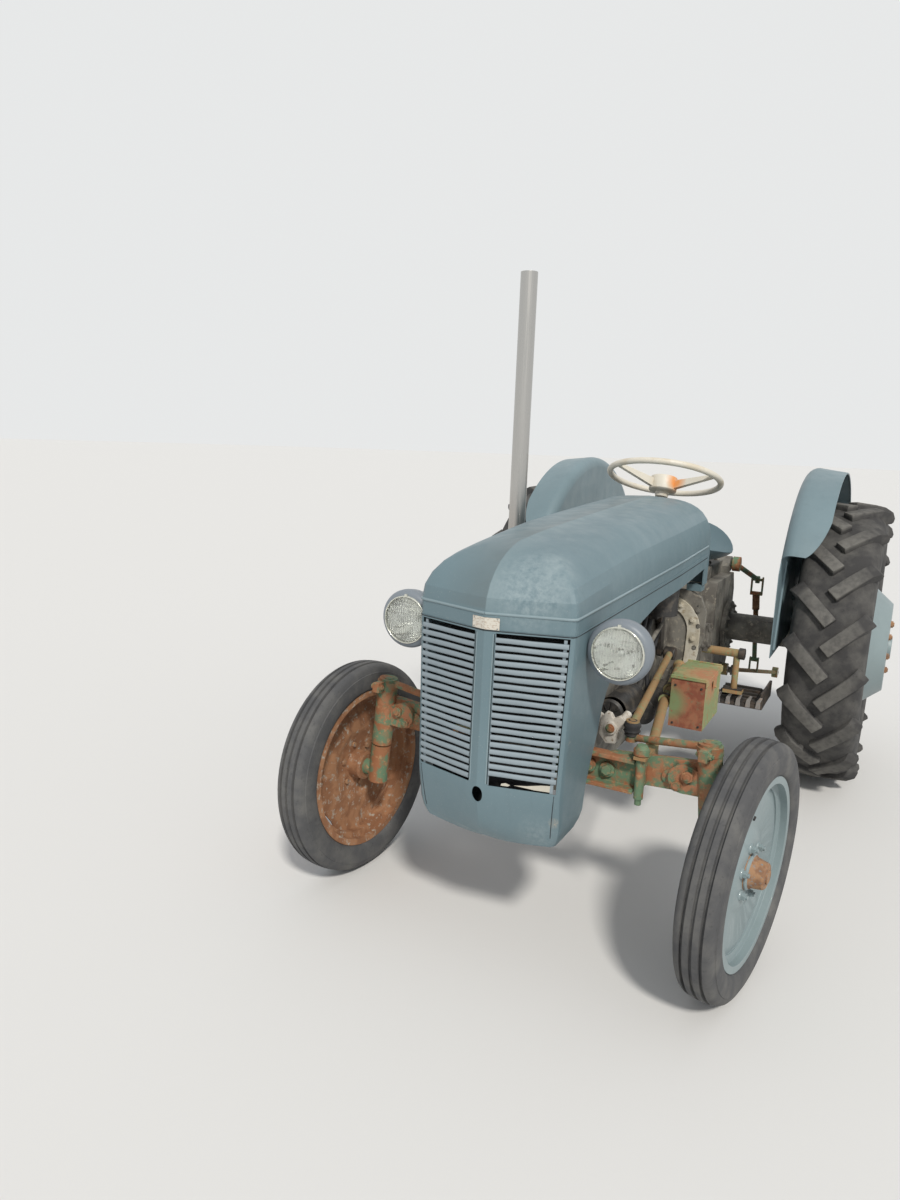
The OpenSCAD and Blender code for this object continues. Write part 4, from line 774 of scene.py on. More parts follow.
rod(ignition, 24, at(104, 300, 760), at(132, 300, 760), 28)
rod(ignition, 30, at(126, 560, 660), at(126, 560, 760), 32)              # the oil filter
block(ignition, at(104, 540, 690), at(130, 580, 730))
for k in range(4):
    y = PLUG_FIRST + k * PLUG_STEP
    rod(ignition, 8, at(62, y, 1002), at(70, y, 1046), 16)
made("distributor_and_filter", ignition, engine_black, "chassis", 35, 0.0015)
for k in range(4):
    tube("plug_lead_%d" % k, 4, boot_rubber,
         [(70, PLUG_FIRST + k * PLUG_STEP, 1042), (92, 240 + k * 110, 1030), (118, 340 + k * 40, 960),
          (160, 412 + k * 6, 830)])

# The clutch housing's pale flange stands out behind the engine, with plates and bolts beside it
ochre_casting = worn_coat("pale_ochre_casting",
                          (0.44, 0.40, 0.31), (0.53, 0.50, 0.42), (0.30, 0.23, 0.15), (0.12, 0.10, 0.08),
                          (0.06, 0.018, 0.05), (0.5, 0.6, 0.6), 0.75)
FLANGE = (104, 715)                          # the middle of its curve, across and up
collar = bmesh.new()
outer = [on_ellipse(t, 130, 132, FLANGE) for t in range(78, -3, -8)]
inner = [on_ellipse(t, 82, 86, FLANGE) for t in range(0, 79, 13)]
for sign in (1, -1):
    prism(collar, outer + [(233, 640), (224, 575), (180, 575), (184, 640)] + inner, -1038, -1022,
          FRONT_AXLE @ mirrored(sign) @ FACE_ON)
    for turn in (62, 24, -14):
        x, z = on_ellipse(turn, 108, 110, FLANGE)
        bolt(collar, at(sign * x, 1022, z), (0, -1, 0), 10, 8)
made("clutch_housing_flange", collar, ochre_casting, "chassis", 30, 0.003)
plates = bmesh.new()
for y, x, z, long in ((1062, 214, 700, 150), (1078, 232, 690, 110)):
    block(plates, at(x - 8, y - 6, z - long / 2), at(x + 26, y + 8, z + long / 2))
    for up in (long * 0.28, -long * 0.28):
        bolt(plates, at(x + 26, y, z + up), (1, 0, 0), 8, 7)
made("flange_plates", plates, casting_paint, "chassis", 30, 0.003)

# ---- Bonnet, nose and grille ----
# Pressed sheet steel: a domed top and a V-shaped nose with louvres, which tilt forward together.
# Faded grey-blue paint, chalky on the facet beside the ridge, with painted highlights on that facet, at the
# brow and on the beads, and painted shade beside the middle crease.
NOSE_Y, NOSE_DEEP, NOSE_HALF, BONNET_HALF, BONNET_REAR = -345, 55, 218, 238, 1020
BELT_FRONT, BELT_REAR, BAND = 998, 1049, 45  # the belt crease's height at both ends, and the band below it
FACET, FACET_LEAN = math.atan(NOSE_DEEP / NOSE_HALF), 0.015


def belt_route(drop, sink):
    """The belt crease from the ridge to the bonnet's rear, lowered and sunk by so many millimetres."""
    plan = [(NOSE_HALF * f, NOSE_Y + NOSE_DEEP * f) for f in (0, 0.25, 0.5, 0.75, 0.93)]
    plan += [(214, -287), (NOSE_HALF, -272)]
    plan += [(NOSE_HALF + 20 * min(1, (y + 288) / 900), y) for y in range(-180, BONNET_REAR, 100)]
    plan += [(BONNET_HALF, BONNET_REAR - 3)]
    route = []
    for x, y in plan:
        z = BELT_FRONT - drop + (BELT_REAR - BELT_FRONT) * (y - NOSE_Y) / (BONNET_REAR - NOSE_Y)
        route.append(at(x - (sink if y > -290 else 0), y + (sink if y < -280 else 0), z))
    return route


body_paint = old_paint("faded_grey_blue_paint", (0.126, 0.190, 0.216), 0.3)
for middle, reach, blur, tint, size in (
        (at(95, -285, 1062), 0.060, 0.070, (0.225, 0.290, 0.312), 0.014),    # the chalky facet at the ridge, painted paler too as the light on that facet
        # a painted highlight along the brow, where the nose's front turns into the top
        (at(120, -235, 1105), 0.015, 0.075, (0.250, 0.315, 0.335), 0.030),
        (at(196, -300, 470), 0.006, 0.014, (0.42, 0.36, 0.28), 0.006),       # a scuffed dimple on the cheek
        (at(150, -290, 430), 0.010, 0.060, (0.20, 0.26, 0.28), 0.010)):
    stain_and_highlight_patch(body_paint, middle, reach, blur, tint, size)
# Painted shade and highlight beside the middle crease, on top: the paint is darker on the right flank, as
# shade, and paler on the left one, as light
body_tree = body_paint.node_tree
body_colour = body_tree.nodes["Principled BSDF"].inputs["Base Color"]
across = along(body_tree, "X")
on_top = band(body_tree, along(body_tree, "Z"), 1.000, 1.010)
uneven = band(body_tree, grain(body_tree, 0.05, 5), 0.2, 0.7, 0.55, 1.0)
for low, high, at_low, at_high, own_side, tint in (
        (-0.150, -0.010, 0, 0.9, (1, 0), (0.120, 0.158, 0.168)),
        (0.002, 0.060, 0.7, 0, (0, 1), (0.185, 0.248, 0.268))):
    crease_shade_and_highlight = both_masks(body_tree, band(body_tree, across, low, high, at_low, at_high),
                       band(body_tree, across, -0.002, 0.002, *own_side))
    crease_shade_and_highlight = both_masks(body_tree, both_masks(body_tree, crease_shade_and_highlight, on_top), uneven)
    body_tree.links.new(lay_over(body_tree, crease_shade_and_highlight, body_colour.links[0].from_socket, tint), body_colour)
top_sheet = dressed("bonnet_top", "bonnet_top_sheet", body_paint, 0.0016, 16)
# The pressing's middle crease goes on over the top: both flanks fall away from it at a small angle
CREASE_WIDE, CREASE_DEEP, TOP_LOW = 0.17, 0.038, 1.03
crease = bmesh.new()
crease.from_mesh(top_sheet.data)
for x in (-0.13, -0.09, -0.06, -0.035, -0.015, 0, 0.015, 0.035, 0.06, 0.09, 0.13):
    everything = crease.verts[:] + crease.edges[:] + crease.faces[:]
    bmesh.ops.bisect_plane(crease, geom=everything, plane_co=(x, 0, 0), plane_no=(1, 0, 0))
for vert in crease.verts:
    if vert.co.z > TOP_LOW:
        aside, back = min(1, abs(vert.co.x) / CREASE_WIDE), vert.co.y - AXLE_Y
        fade = min(1, max(0, (back + 0.335) / 0.12)) * (1 - 0.6 * min(1, max(0, back)))
        vert.co.z -= CREASE_DEEP * fade * aside * (1 - aside) ** 2
crease.to_mesh(top_sheet.data)
crease.free()
shade_smooth(top_sheet.data, 16)

crank_hole = bmesh.new()                     # for the starting handle, at the foot of the centre post
through = Matrix.Translation(at(0, -325, 524)) @ FACE_ON @ Matrix.Diagonal((0.015, 0.022, 0.1, 1))
bmesh.ops.create_cone(crank_hole, cap_ends=True, segments=32, radius1=1, radius2=1, depth=1, matrix=through)
nose_sheet = dressed("nose", "nose_sheet", body_paint, 0.0012, 20, cutter=crank_hole)

# Louvres with a rounded front, slightly bent; the lowest one on the left is torn out
LOUVRES, LOUVRE_LOW, LOUVRE_TOP = 20, -396, -12
LOUVRE = [(5.5, -6.6), (5.5, 4.5), (1.8, 6.4), (0.2, 6.2), (-1.3, 4.8), (-2.3, 2), (-2.6, -1.2), (-2.2, -4.3),
          (-1, -6.1), (0.6, -6.6)]
ALONG_X = Matrix(((0, 0, 1, 0), (1, 0, 0, 0), (0, 1, 0, 0), (0, 0, 0, 1)))  # a prism then runs along X


def facet_place(sign):
    """From one half of the nose's front, drawn flat from the middle just below the band, to its place."""
    middle = Matrix.Translation(at(0, NOSE_Y, BELT_FRONT - BAND))
    lean, swing = Matrix.Rotation(-math.atan(FACET_LEAN), 4, "X"), Matrix.Rotation(FACET, 4, "Z")
    return mirrored(sign) @ middle @ lean @ swing


louvres = bmesh.new()
for side, sign in SIDES:
    facet = facet_place(sign)
    for i in range(1 if side == "left" else 0, LOUVRES):
        z = LOUVRE_LOW + (i + 0.5) * (LOUVRE_TOP - LOUVRE_LOW) / LOUVRES
        edge = (1 + 0.06 * z / 505) / math.cos(FACET) * NOSE_HALF * 0.945    # the nose is narrower below
        outline = [(y, z + up) for y, up in LOUVRE]
        prism(louvres, outline, edge * 0.13 / 0.945 + 1, edge - 2, facet @ ALONG_X, 6)
    for foot, head, low, top in ((18, 18, 12, 8), (186, 197, 10, 6)):        # the posts at their ends
        wide = 12 if foot == head else 8
        post = [(foot, LOUVRE_LOW - low), (foot + wide, LOUVRE_LOW - low),
                (head + wide, LOUVRE_TOP + top), (head, LOUVRE_TOP + top)]
        prism(louvres, post, -7.5, -3.5, facet @ FACE_ON)
for vert in louvres.verts:
    aside = abs(vert.co.x)
    if 0.035 < aside < 0.195:
        bent = math.sin(30 * vert.co.x + 55 * vert.co.z) * math.sin(math.pi * (aside - 0.03) / 0.17)
        vert.co.z += 0.0007 * bent
louvre_paint = old_paint("chalky_louvre_paint", (0.215, 0.262, 0.290), 0.7)
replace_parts(made("grille_louvres", louvres, louvre_paint, "bonnet", 50), "grille")

# A dark sheet inside the chin, painted shade, shows through the torn place and the crank's hole
chin_shade_sheet = bmesh.new()
prism(chin_shade_sheet, [(-285, 650), (-262, 405), (-259, 405), (-282, 650)], -172, 172, FRONT_AXLE @ ALONG_X)
made("chin_painted_shade_sheet", chin_shade_sheet, boot_rubber, "bonnet", 30)
torn = bmesh.new()
for scrap in ([(96, -392), (150, -397), (187, -397), (187, -380), (165, -382), (128, -389)],
              [(62, -397), (80, -397), (86, -393), (74, -389), (63, -392)]):
    prism(torn, scrap, -5, -3.6, facet_place(1) @ FACE_ON)
torn_paint = old_paint("torn_louvre_paint", (0.46, 0.43, 0.36), 0.9)
made("torn_louvre", torn, torn_paint, "bonnet", 40)

# Beads, and dark strips of painted shadow along the seams, lie on the sheets: each point is dropped on to the
# metal along Y
seam_shadow_paint = shader("painted_seam_shadow", 0.8, colour=(0.022, 0.028, 0.032))[0]
bpy.context.view_layer.update()
beads, seam_shadow_strips = bmesh.new(), bmesh.new()


def on_nose(x, z, sink):
    """The point of the nose's front at a place across and up, sunk by so many millimetres."""
    hit, spot, _, _ = nose_sheet.ray_cast(at(x, -520, z), Vector((0, 1, 0)))
    assert hit, (x, z)
    return spot + Vector((0, sink / 1000, 0))


for sign in (1, -1):
    sweep(beads, [mirrored(sign) @ spot for spot in belt_route(2, 1.2)], 4.0, 14, 3)
    sweep(seam_shadow_strips, [mirrored(sign) @ spot for spot in belt_route(BAND, 0.5)], 1.5, 8, 3)
    sweep(beads, [on_nose(sign * 22.5, z, 0.6) for z in range(556, 950, 30)], 1.9, 10, 2)
    sweep(seam_shadow_strips, [on_nose(sign * 25.6, z, 0.3) for z in range(556, 950, 30)], 1.0, 8, 2)
    cheek = ((192, 548), (190, 520), (188, 495), (186, 470), (184, 445), (182, 425))
    sweep(seam_shadow_strips, [on_nose(sign * x, z, 0.2) for x, z in cheek], 1.1, 8, 3)
# The beads' paler paint is a painted highlight along the belt crease and beside the centre post
bead_highlight_paint = old_paint("painted_highlight_bead_paint", (0.195, 0.262, 0.285), 0.6)
made("nose_and_belt_beads", beads, bead_highlight_paint, "bonnet", 60)
made("panel_seam_shadow_strips", seam_shadow_strips, seam_shadow_paint, "bonnet", 60)

# The plate is folded round the nose's middle, and is blank
plate_white, plate_tree, plate_surface = shader("off_white_plate", 0.5)
stains = band(plate_tree, grain(plate_tree, 0.007, 6, (1, 1, 2)), 0.48, 0.62, 0.0, 0.6)
plate_tree.links.new(lay_over(plate_tree, stains, (0.60, 0.57, 0.50), (0.34, 0.24, 0.17)),
                     plate_surface.inputs["Base Color"])
plate, rivets = bmesh.new(), bmesh.new()
for sign in (1, -1):
    bent_plate = Matrix.Translation(on_nose(sign * 18.5, 950, -1)) @ Matrix.Rotation(sign * FACET, 4, "Z")
    half = block(plate, Vector((-0.019, -0.0008, -0.015)), Vector((0.019, 0.0008, 0.015)))
    bmesh.ops.transform(plate, matrix=Matrix.Translation((0, 0.0003, 0.021)) @ bent_plate, verts=half)
    for z in (959, 983):
        spot = at(sign * 32, NOSE_Y + 8, z)
        rod(rivets, 2.2, spot + Vector((0, 0.001, 0)), spot + Vector((0, -0.0025, 0)), 12, tip=1.2)
made("blank_front_plate", plate, plate_white, "bonnet", 50, 0.0006)
made("plate_rivets", rivets, body_paint, "bonnet", 50)

# ---- Headlamps ----
# Painted shells with bright rims, a dished reflector with its bulb, and a fluted glass in front.
# The shell's paint has turned purplish grey.
LAMP_X, LAMP_Y, LAMP_Z, STUB_Y, STUB_Z = 302, -205, 916, -155, 912
SHELL = [(0, -92), (26, -90), (50, -78), (68, -56), (78, -30), (82, -8), (82, 4), (80, 10), (76, 15),
         (71, 18), (66, 19), (64, 16), (65, 4), (60, -28), (40, -62), (20, -80), (0, -84)]
RIM = [(62.2, 17), (62.6, 22.5), (64.2, 24.5), (66.2, 24), (67.4, 21.5), (67.6, 14), (65, 13)]
GLASS = [(0, 30), (20, 29.4), (40, 27.0), (54, 23.6), (62.8, 20.6), (62.8, 18.2), (54, 21.2), (40, 24.5),
         (20, 26.8), (0, 27.4)]
BOWL = [(62, 14)] + [(r, 14 - 62 * (1 - (r / 62) ** 2)) for r in (8 + 6.5 * k for k in range(7, -1, -1))]
shells, lenses, rims, reflectors, bosses = (bmesh.new() for _ in range(5))
for sign in (1, -1):
    axis = Matrix.Translation(at(sign * LAMP_X, LAMP_Y, LAMP_Z)) @ FACE_ON
    spun(shells, SHELL, axis, 96, closed=False)
    rod(shells, 13, at(sign * 256, STUB_Y, STUB_Z), at(sign * 217, STUB_Y, STUB_Z), 32)
    spun(rims, RIM, axis, 72)
    block(rims, at(sign * LAMP_X - 4, -228, 981), at(sign * LAMP_X + 4, -216, 988))
    spun(lenses, GLASS, axis, 64, closed=False)
    spun(reflectors, BOWL, axis, 64, closed=False)
    rod(reflectors, 7, axis @ Vector((0, 0, -0.048)), axis @ Vector((0, 0, -0.020)), 16)
    bmesh.ops.create_uvsphere(reflectors, u_segments=16, v_segments=10, radius=0.010,
                              matrix=axis @ Matrix.Translation((0, 0, -0.016)))
    rod(bosses, 19, at(sign * 252, STUB_Y, STUB_Z), at(sign * 222, STUB_Y, STUB_Z), 24)
    bolt(bosses, at(sign * 270, -163, 906), (0, -0.3, -1), 8, 7)
shell_paint = old_paint("purplish_shell_paint", (0.178, 0.204, 0.232), 0.4)
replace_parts(made("headlamp_shells", shells, shell_paint, "bonnet", 34), "headlamps")
chrome, chrome_tree, chrome_surface = shader("dull_chrome", 0.22, 1.0, colour=(0.76, 0.76, 0.68))
chrome_tree.links.new(band(chrome_tree, grain(chrome_tree, 0.012, 6), 0.35, 0.7, 0.14, 0.45),
                      chrome_surface.inputs["Roughness"])
silver, silver_tree, silver_surface = shader("tarnished_reflector_and_painted_reflections", 0.16, 0.9)
# Dark streaks over the bright silver are partly tarnish and partly painted reflections
tarnish_and_reflections = band(silver_tree, grain(silver_tree, 0.030, 4, (1, 1, 2.4)), 0.56, 0.62)
silver_tree.links.new(lay_over(silver_tree, tarnish_and_reflections, (0.96, 0.96, 0.94), (0.22, 0.22, 0.17)),
                      silver_surface.inputs["Base Color"])
lens, lens_tree, lens_surface = shader("fluted_lamp_glass", 0.03, colour=(0.93, 0.95, 0.92))
lens_surface.inputs["Transmission Weight"].default_value = 0.90
flutes = both_masks(lens_tree, ridges(lens_tree, "X", 44, 0.6),
                    band(lens_tree, along(lens_tree, "Z"), 0.890, 0.955, 0.45, 1.0))
emboss(lens_tree, lens_surface, flutes, 0.8, 0.0018)
emboss(lens_tree, lens_surface, ridges(lens_tree, "Z", 9, 3.5), 0.3, 0.002)
emboss(lens_tree, lens_surface, grain(lens_tree, 0.02, 3), 0.4, 0.003)
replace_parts(made("fluted_lenses", lenses, lens, "bonnet", 40), "headlamp_glass")
made("headlamp_rims", rims, chrome, "bonnet", 40, 0.0006)
made("headlamp_reflectors", reflectors, silver, "bonnet", 50)
made("headlamp_bosses", bosses, shell_paint, "bonnet", 34, 0.0015)

# ---- Dash cowl, steering wheel and gear lever ----
# A painted cowl with its instruments behind the bonnet, and a cream wheel on a sloping column.
# The wheel's hub is stained orange with rust.
dressed("dash_cowl", "dash_cowl_sheet", body_paint, 0.0015, 30)
dial_face = shader("dark_dial_faces", 0.25, coat=0.5, colour=(0.03, 0.03, 0.032))[0]
dials, dial_rings = bmesh.new(), bmesh.new()
for x, z, r in ((-92, 1080, 30), (96, 1090, 34), (-92, 985, 16), (100, 985, 14)):
    face_at = Matrix.Translation(at(x, 1094, z)) @ rotated(-90, "X")
    rod(dials, r - 2, face_at @ Vector((0, 0, -0.002)), face_at @ Vector((0, 0, 0.002)), 40)
    spun(dial_rings, [(r - 4, 0), (r - 3, 4), (r, 5), (r + 3, 3), (r + 3, -1), (r - 4, -1)], face_at, 40)
    rod(dials, r * 0.12, face_at @ Vector((0, 0, 0.001)), face_at @ Vector((0, 0, 0.005)), 12)
made("dial_faces", dials, dial_face, "chassis", 40)
made("dial_rings", dial_rings, chrome, "chassis", 40)
cream = worn_coat("stained_cream_plastic",
                  (0.66, 0.62, 0.53), (0.60, 0.54, 0.43), (0.42, 0.27, 0.14), (0.30, 0.20, 0.12),
                  (0.08, 0.010, 0.03), (0.55, 0.70, 0.68), 0.45)
COLUMN_LEAN = 19                             # degrees back from upright, about the column's foot
column_z, column_y = on_ellipse(COLUMN_LEAN, 400, 400, (880, 1080))
COLUMN = Matrix.Translation(at(0, column_y, column_z)) @ rotated(-COLUMN_LEAN, "X")
stain_and_highlight_patch(cream, COLUMN @ Vector((0.052, -0.012, 0.004)), 0.022, 0.030, (0.72, 0.30, 0.09), 0.03, 0.15, 0.45)
wheel = bmesh.new()
spun(wheel, [on_ellipse(t, 12, 12, (216, 22)) for t in range(0, 360, 20)], COLUMN, 96)
spun(wheel, [(8.3, -58), (24, -58), (28, -40), (48, -36), (54, -30), (54, 16), (50, 23), (8.3, 27)],
     COLUMN, 48)
for turn in (345, 225, 105):                 # deep spokes that narrow towards the rim
    prism(wheel, [(50, -26), (206, 15), (206, 28), (50, 8)], -10, 10, COLUMN @ rotated(turn, "Z") @ FACE_ON)
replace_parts(made("steering_wheel_rim", wheel, cream, "steering_wheel", 34, 0.0015), "steering_wheel")
dressed("gear_lever", "gear_lever_rod", engine_black, 0.0006, 34)
throttle = bmesh.new()
rod(throttle, 4, COLUMN @ Vector((0.020, 0.006, -0.110)), COLUMN @ Vector((0.120, 0.030, -0.095)), 12)
bmesh.ops.create_uvsphere(throttle, u_segments=16, v_segments=10, radius=0.011,
                          matrix=COLUMN @ Matrix.Translation((0.122, 0.031, -0.094)))
rod(throttle, 26, COLUMN @ Vector((0, 0, -0.118)), COLUMN @ Vector((0, 0, -0.100)), 28)
made("throttle_lever", throttle, engine_black, "chassis", 34, 0.001)

# ---- Exhaust stack ----
# A tall straight tube of bright brushed steel, clamped on the manifold's elbow.
# It is ground along its length, and has browned a little towards its foot.
brushed, brushed_tree, brushed_surface = shader("brushed_stainless", 0.30, 1.0)
streaks = grain(brushed_tree, 0.004, 6, (1, 1, 0.02))
heated = band(brushed_tree, along(brushed_tree, "Z"), 0.95, 1.25, 0.55, 0.0)     # browner towards its foot
brushed_tree.links.new(lay_over(brushed_tree, heated, (0.50, 0.49, 0.47), (0.30, 0.25, 0.20)),
                       brushed_surface.inputs["Base Color"])
brushed_tree.links.new(band(brushed_tree, streaks, 0.3, 0.7, 0.22, 0.42), brushed_surface.inputs["Roughness"])
emboss(brushed_tree, brushed_surface, streaks, 0.15, 0.0004)
dressed("exhaust_stack", "exhaust_stack_tube", brushed, 0.0006, 30)
STACK_X, STACK_Y = -335, 556
clamp = bmesh.new()
for z in (925, 944):
    spun(clamp, [(29.5, -4), (36, -4), (37, 0), (36, 4), (29.5, 4)],
         Matrix.Translation(at(STACK_X, STACK_Y, z)), 48)
block(clamp, at(-380, 546, 918), at(-366, 566, 950))
bolt(clamp, at(-366, STACK_Y, 934), (1, 0, 0), 6, 6)
made("stack_clamp", clamp, dull_rust, "chassis", 34, 0.0008)

# ---- Mudguards and seat ----
# Rolled sheet mudguards bolted to the axle, with a turned-down outer edge and a stiffening bead.
# The pan seat is pressed sheet on a sprung bar. All are in the same faded grey-blue.
guard_paint = old_paint("faded_guard_paint", (0.148, 0.212, 0.236), 0.5)
# Each front corner is rounded off: what lies outside a quarter ellipse is cut away
corners = bmesh.new()
rolled = [on_ellipse(t, -103, 290, (-525, -150)) for t in range(6, 79, 6)]
for sign in (1, -1):
    tip = (mirrored(sign) @ Matrix.Translation(at(0, WHEELBASE, REAR_AXLE_Z)) @ rotated(90, "Y")
           @ rotated(225, "Z") @ rotated(90, "Y"))
    prism(corners, [(-640, -119)] + rolled + [(-545, 200), (-640, 200)], 653, 773, tip)
dressed("mudguards", "mudguard_sheets", guard_paint, 0.0012, 24, cutter=corners)
BEAD_RADIUS, BEAD_OUT = 716, 0.6195          # from the wheel's middle in millimetres, and out in metres
guard_parts = bmesh.new()
for sign in (1, -1):
    for y, z in ((1690, 700), (1778, 700), (1866, 700), (1690, 780), (1866, 780)):
        bolt(guard_parts, at(sign * 473, y, z), (sign, 0, 0), 9, 7)
        bolt(guard_parts, at(sign * 458, y, z), (-sign, 0, 0), 9, 6)
    for low, high in (((1240, 640), (1330, 980)), ((2120, 700), (2020, 1080))):
        rod(guard_parts, 6, at(sign * 474, *low), at(sign * 474, *high), 16)
bead = [at(0, *on_ellipse(t, -BEAD_RADIUS, BEAD_RADIUS, (WHEELBASE, REAR_AXLE_Z)))
        for t in range(60, 168, 4)]
for sign in (1, -1):
    out = Vector((sign * BEAD_OUT, 0, 0))
    for start, end in zip(bead, bead[1:]):
        rod(guard_parts, 3.2, start + out, end + out, 10)
made("mudguard_bolts_and_ribs", guard_parts, guard_paint, "chassis", 34, 0.0008)
dressed("seat_pan", "seat_pan_sheet", body_paint, 0.0012, 30)
dressed("seat_support", "seat_bar", rusty_bar, 0.003)
SEAT_Y, SEAT_Z, SEAT_HALF = 1628, 908.5, 215
seat_parts = bmesh.new()
bolt(seat_parts, at(0, SEAT_Y, 909), (0, 0, 1), 11, 8)
for x in (-18, 18):
    bolt(seat_parts, at(x, 1600, 895), (0, 0, 1), 7, 5)
for turn in range(18):                       # the drain holes follow the pan, which rises more at the back
    angle = turn * math.tau / 18
    for reach in (95, 140):
        out = reach / SEAT_HALF
        rise = 110 if math.sin(angle) > 0 else 30
        z = SEAT_Z + 34 * out ** 2 + rise * out ** 4 * abs(math.sin(angle)) ** 1.5
        spot = at(reach * math.cos(angle), SEAT_Y + reach * 0.92 * math.sin(angle), z)
        rod(seat_parts, 6, spot, spot + Vector((0, 0, 0.0012)), 16)
made("seat_bolt_and_drain_holes", seat_parts, engine_black, "chassis", 34)

# ---- Footrests and pedals ----
# Cast footrests with upright teeth on each side of the gearbox, and the clutch and brake pedals above them.
# Worn black iron with rust and mud.
dressed("footrests", "footrest_castings", greasy_black, 0.002)
dressed("pedals", "pedal_levers", rusty_bar, 0.002)
grey_iron = worn_coat("grey_iron",
                      (0.17, 0.16, 0.155), (0.24, 0.225, 0.21), (0.30, 0.20, 0.14), (0.07, 0.06, 0.055),
                      (0.05, 0.014, 0.04), (0.5, 0.62, 0.62), 0.6)
foot_parts, teeth = bmesh.new(), bmesh.new()
for sign in (1, -1):
    for k in range(5):                       # ribs across the rest
        y, low, high = 1096 + 44 * k, sign * 330 - 26, sign * 330 + 90 * sign + 26
        block(foot_parts, at(low, y, 458), at(high, y + 7, 470))
    for k in range(3):                       # ribs across the pedal's pad
        y = 1076 + 12 * k
        block(foot_parts, at(sign * 365 - 34, y, 499), at(sign * 365 + 34, y + 5, 504))
    for k in range(5):                       # upright teeth along the front edge
        tooth = Matrix.Translation(at(sign * (304 + 37 * k), 1092, 440)) @ FACE_ON
        prism(teeth, [(0, 0), (18, 0), (17, 24), (24, 44), (14, 45), (3, 28)], 0, 10, tooth)
    for y in (1150, 1200):
        bolt(foot_parts, at(sign * 162, y, 520), (sign, 0, 0), 10, 8)
    rod(foot_parts, 22, at(sign * 372, 1100, 640), at(sign * 394, 1100, 640), 24)
made("footrest_ribs_and_pads", foot_parts, greasy_black, "chassis", 30, 0.0015)
made("footrest_teeth", teeth, grey_iron, "chassis", 30, 0.002)

# ---- Tool box ----
# A folded steel box banded to the left radius rod, with a lipped lid on a rear hinge.
# Green paint on its lid and sides; the front has gone to rust.
box_paint = worn_coat("rusting_box_paint",
                      (0.225, 0.275, 0.125), (0.36, 0.31, 0.15), (0.38, 0.17, 0.08), (0.14, 0.10, 0.055),
                      (0.07, 0.013, 0.04), (0.53, 0.585, 0.62), 0.75)
front_rust = worn_coat("rusty_box_front",
                       (0.245, 0.078, 0.044), (0.34, 0.14, 0.075), (0.22, 0.17, 0.10), (0.10, 0.045, 0.030),
                       (0.05, 0.012, 0.05), (0.5, 0.6, 0.6), 0.85)
stain_and_highlight_patch(box_paint, at(388, 560, 680), 0.050, 0.050, (0.42, 0.20, 0.10), 0.018, 0.34, 0.48)
stain_and_highlight_patch(front_rust, at(268, 470, 600), 0.034, 0.034, (0.20, 0.255, 0.12), 0.016, 0.30, 0.42)
box_piece = dressed("tool_box", "tool_box_shell", box_paint, 0.002)
box_piece.data.materials.append(front_rust)
for polygon in box_piece.data.polygons:      # only the face towards the front
    if polygon.normal.y < -0.9 and polygon.center.y < AXLE_Y + 0.48:
        polygon.material_index = 1
dressed("tool_box_lid", "tool_box_lid_sheet", box_paint, 0.0015)
lid_parts = bmesh.new()
block(lid_parts, at(386, 565, 640), at(390, 605, 682))
rod(lid_parts, 4, at(388, 574, 646), at(396, 574, 646), 14)
for y in (474, 696):                         # the lid's rolled edges
    rod(lid_parts, 3.4, at(272, y, 689), at(384, y, 689), 10)
made("tool_box_latch", lid_parts, box_paint, "tool_box_lid", 30, 0.001)
bands = bmesh.new()
for y in (520, 645):                         # round the radius rod, which slopes in towards the rear
    way = (at(192, 900, 592) - at(250, 500, 590)).normalized()
    spot = at(250 - 58 * (y - 500) / 400, y, 590 + 2 * (y - 500) / 400)
    rod(bands, 21.5, spot - way * 0.008, spot + way * 0.008, 28)
for x in (288, 370):
    for z in (534, 660):
        rod(bands, 4.5, at(x, 471, z), at(x, 467, z), 14, tip=3)
made("tool_box_bands_and_rivets", bands, greasy_black, "chassis", 34, 0.0008)

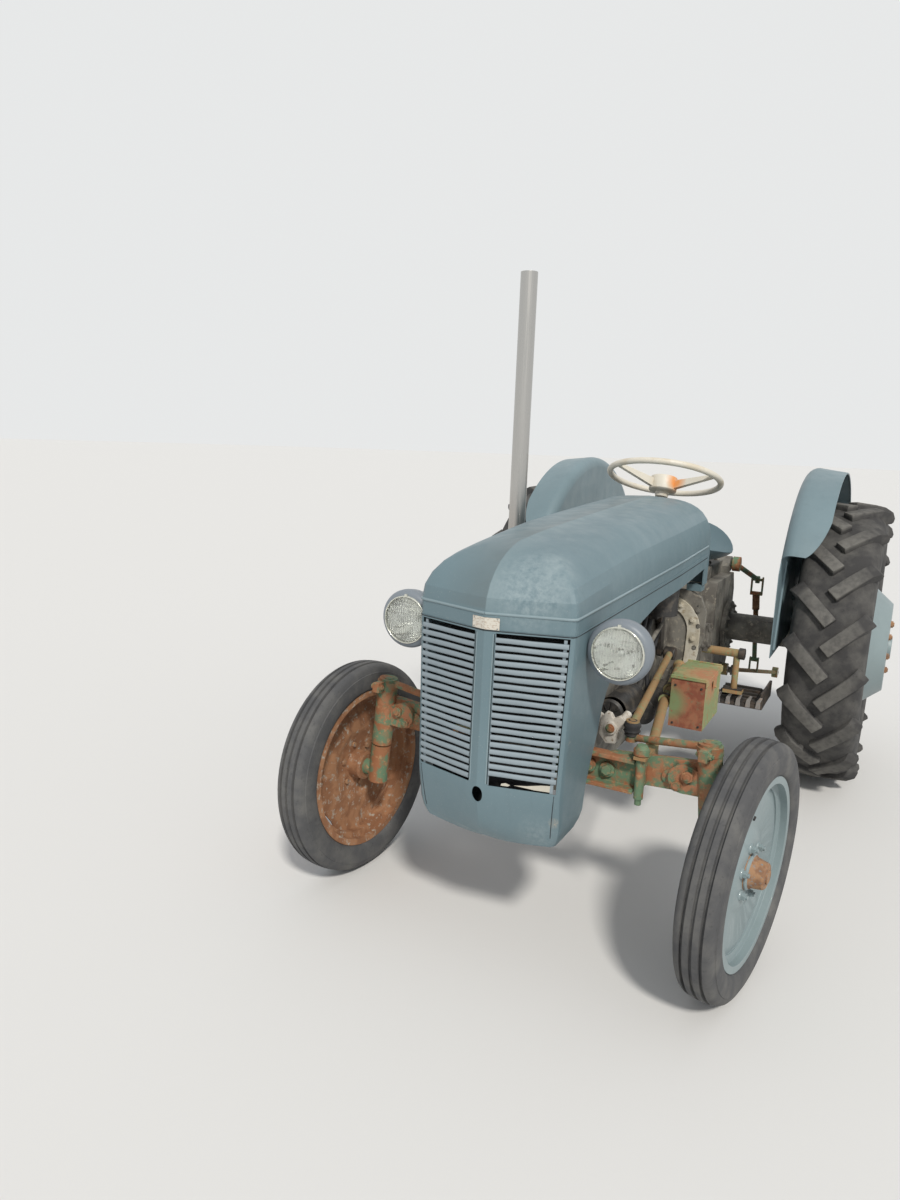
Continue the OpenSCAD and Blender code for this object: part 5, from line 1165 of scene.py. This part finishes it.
# ---- Three-point linkage and power take-off ----
# Lower links with ball ends, lifted by two arms through screwed rods, and the splined shaft between them.
# Bare forged steel with flaking paint, rust and polished ends.
dressed("lift_arms", "lift_arm_forgings", rusty_green, 0.003)
polished, polished_tree, polished_surface = shader("worn_bright_steel", 0.32, 1.0)
rusted = band(polished_tree, grain(polished_tree, 0.01, 6), 0.5, 0.65)
polished_tree.links.new(lay_over(polished_tree, rusted, (0.55, 0.53, 0.50), (0.20, 0.12, 0.08)),
                        polished_surface.inputs["Base Color"])
dressed("pto_shaft", "pto_shaft_bar", polished, 0.001)
LINK_LONG, LINK_FALL = 800, math.radians(13)
for side, sign in SIDES:
    dressed("lift_rod_" + side, "lift_rod_forging_" + side, rusty_green, 0.002)
    dressed("lower_link_" + side, "lower_link_bar_" + side, rusty_bar, 0.002)
    end_y, end_z = 1750 + LINK_LONG * math.cos(LINK_FALL), 400 - LINK_LONG * math.sin(LINK_FALL)
    ends = bmesh.new()
    for x, y, z, bore in ((213, 1750, 400, 14.6), (340, end_y, end_z, 11.5)):
        spun(ends, [(bore, -17), (20, -15), (23, 0), (20, 15), (bore, 17)],
             Matrix.Translation(at(sign * x, y, z)) @ rotated(90, "Y"), 40)
    made("link_balls_" + side, ends, polished, "lower_link_" + side, 50)
    screw = bmesh.new()
    top, low = at(sign * 262, 2112, 700), at(sign * 281, 2158, 375)
    way = (low - top).normalized()
    rod(screw, 17, top, top + way * 0.075, 24)
    for k in range(16):                      # the thread
        rod(screw, 12.6, top + way * (0.080 + 0.006 * k), top + way * (0.083 + 0.006 * k), 20)
    if side == "right":                      # the right rod has the levelling crank
        boss = top + way * 0.028
        elbow, handle = boss + Vector((-0.075, 0.03, 0)), boss + Vector((-0.085, 0.04, 0.055))
        rod(screw, 24, top + way * 0.010, top + way * 0.048, 28)
        rod(screw, 6, boss, elbow, 14)
        rod(screw, 7, elbow, handle, 14)
    made("lift_rod_screw_" + side, screw, dull_rust, "lift_rod_" + side, 34, 0.001)
splines = bmesh.new()
for turn in range(0, 360, 60):
    spline = Matrix.Translation(at(0, 1944, 520)) @ rotated(turn, "Y") @ Matrix.Translation((0, 0, 0.0135))
    bmesh.ops.create_cube(splines, size=1, matrix=spline @ Matrix.Diagonal((0.007, 0.078, 0.006, 1)))
made("pto_splines", splines, polished, "chassis", 30, 0.0008)
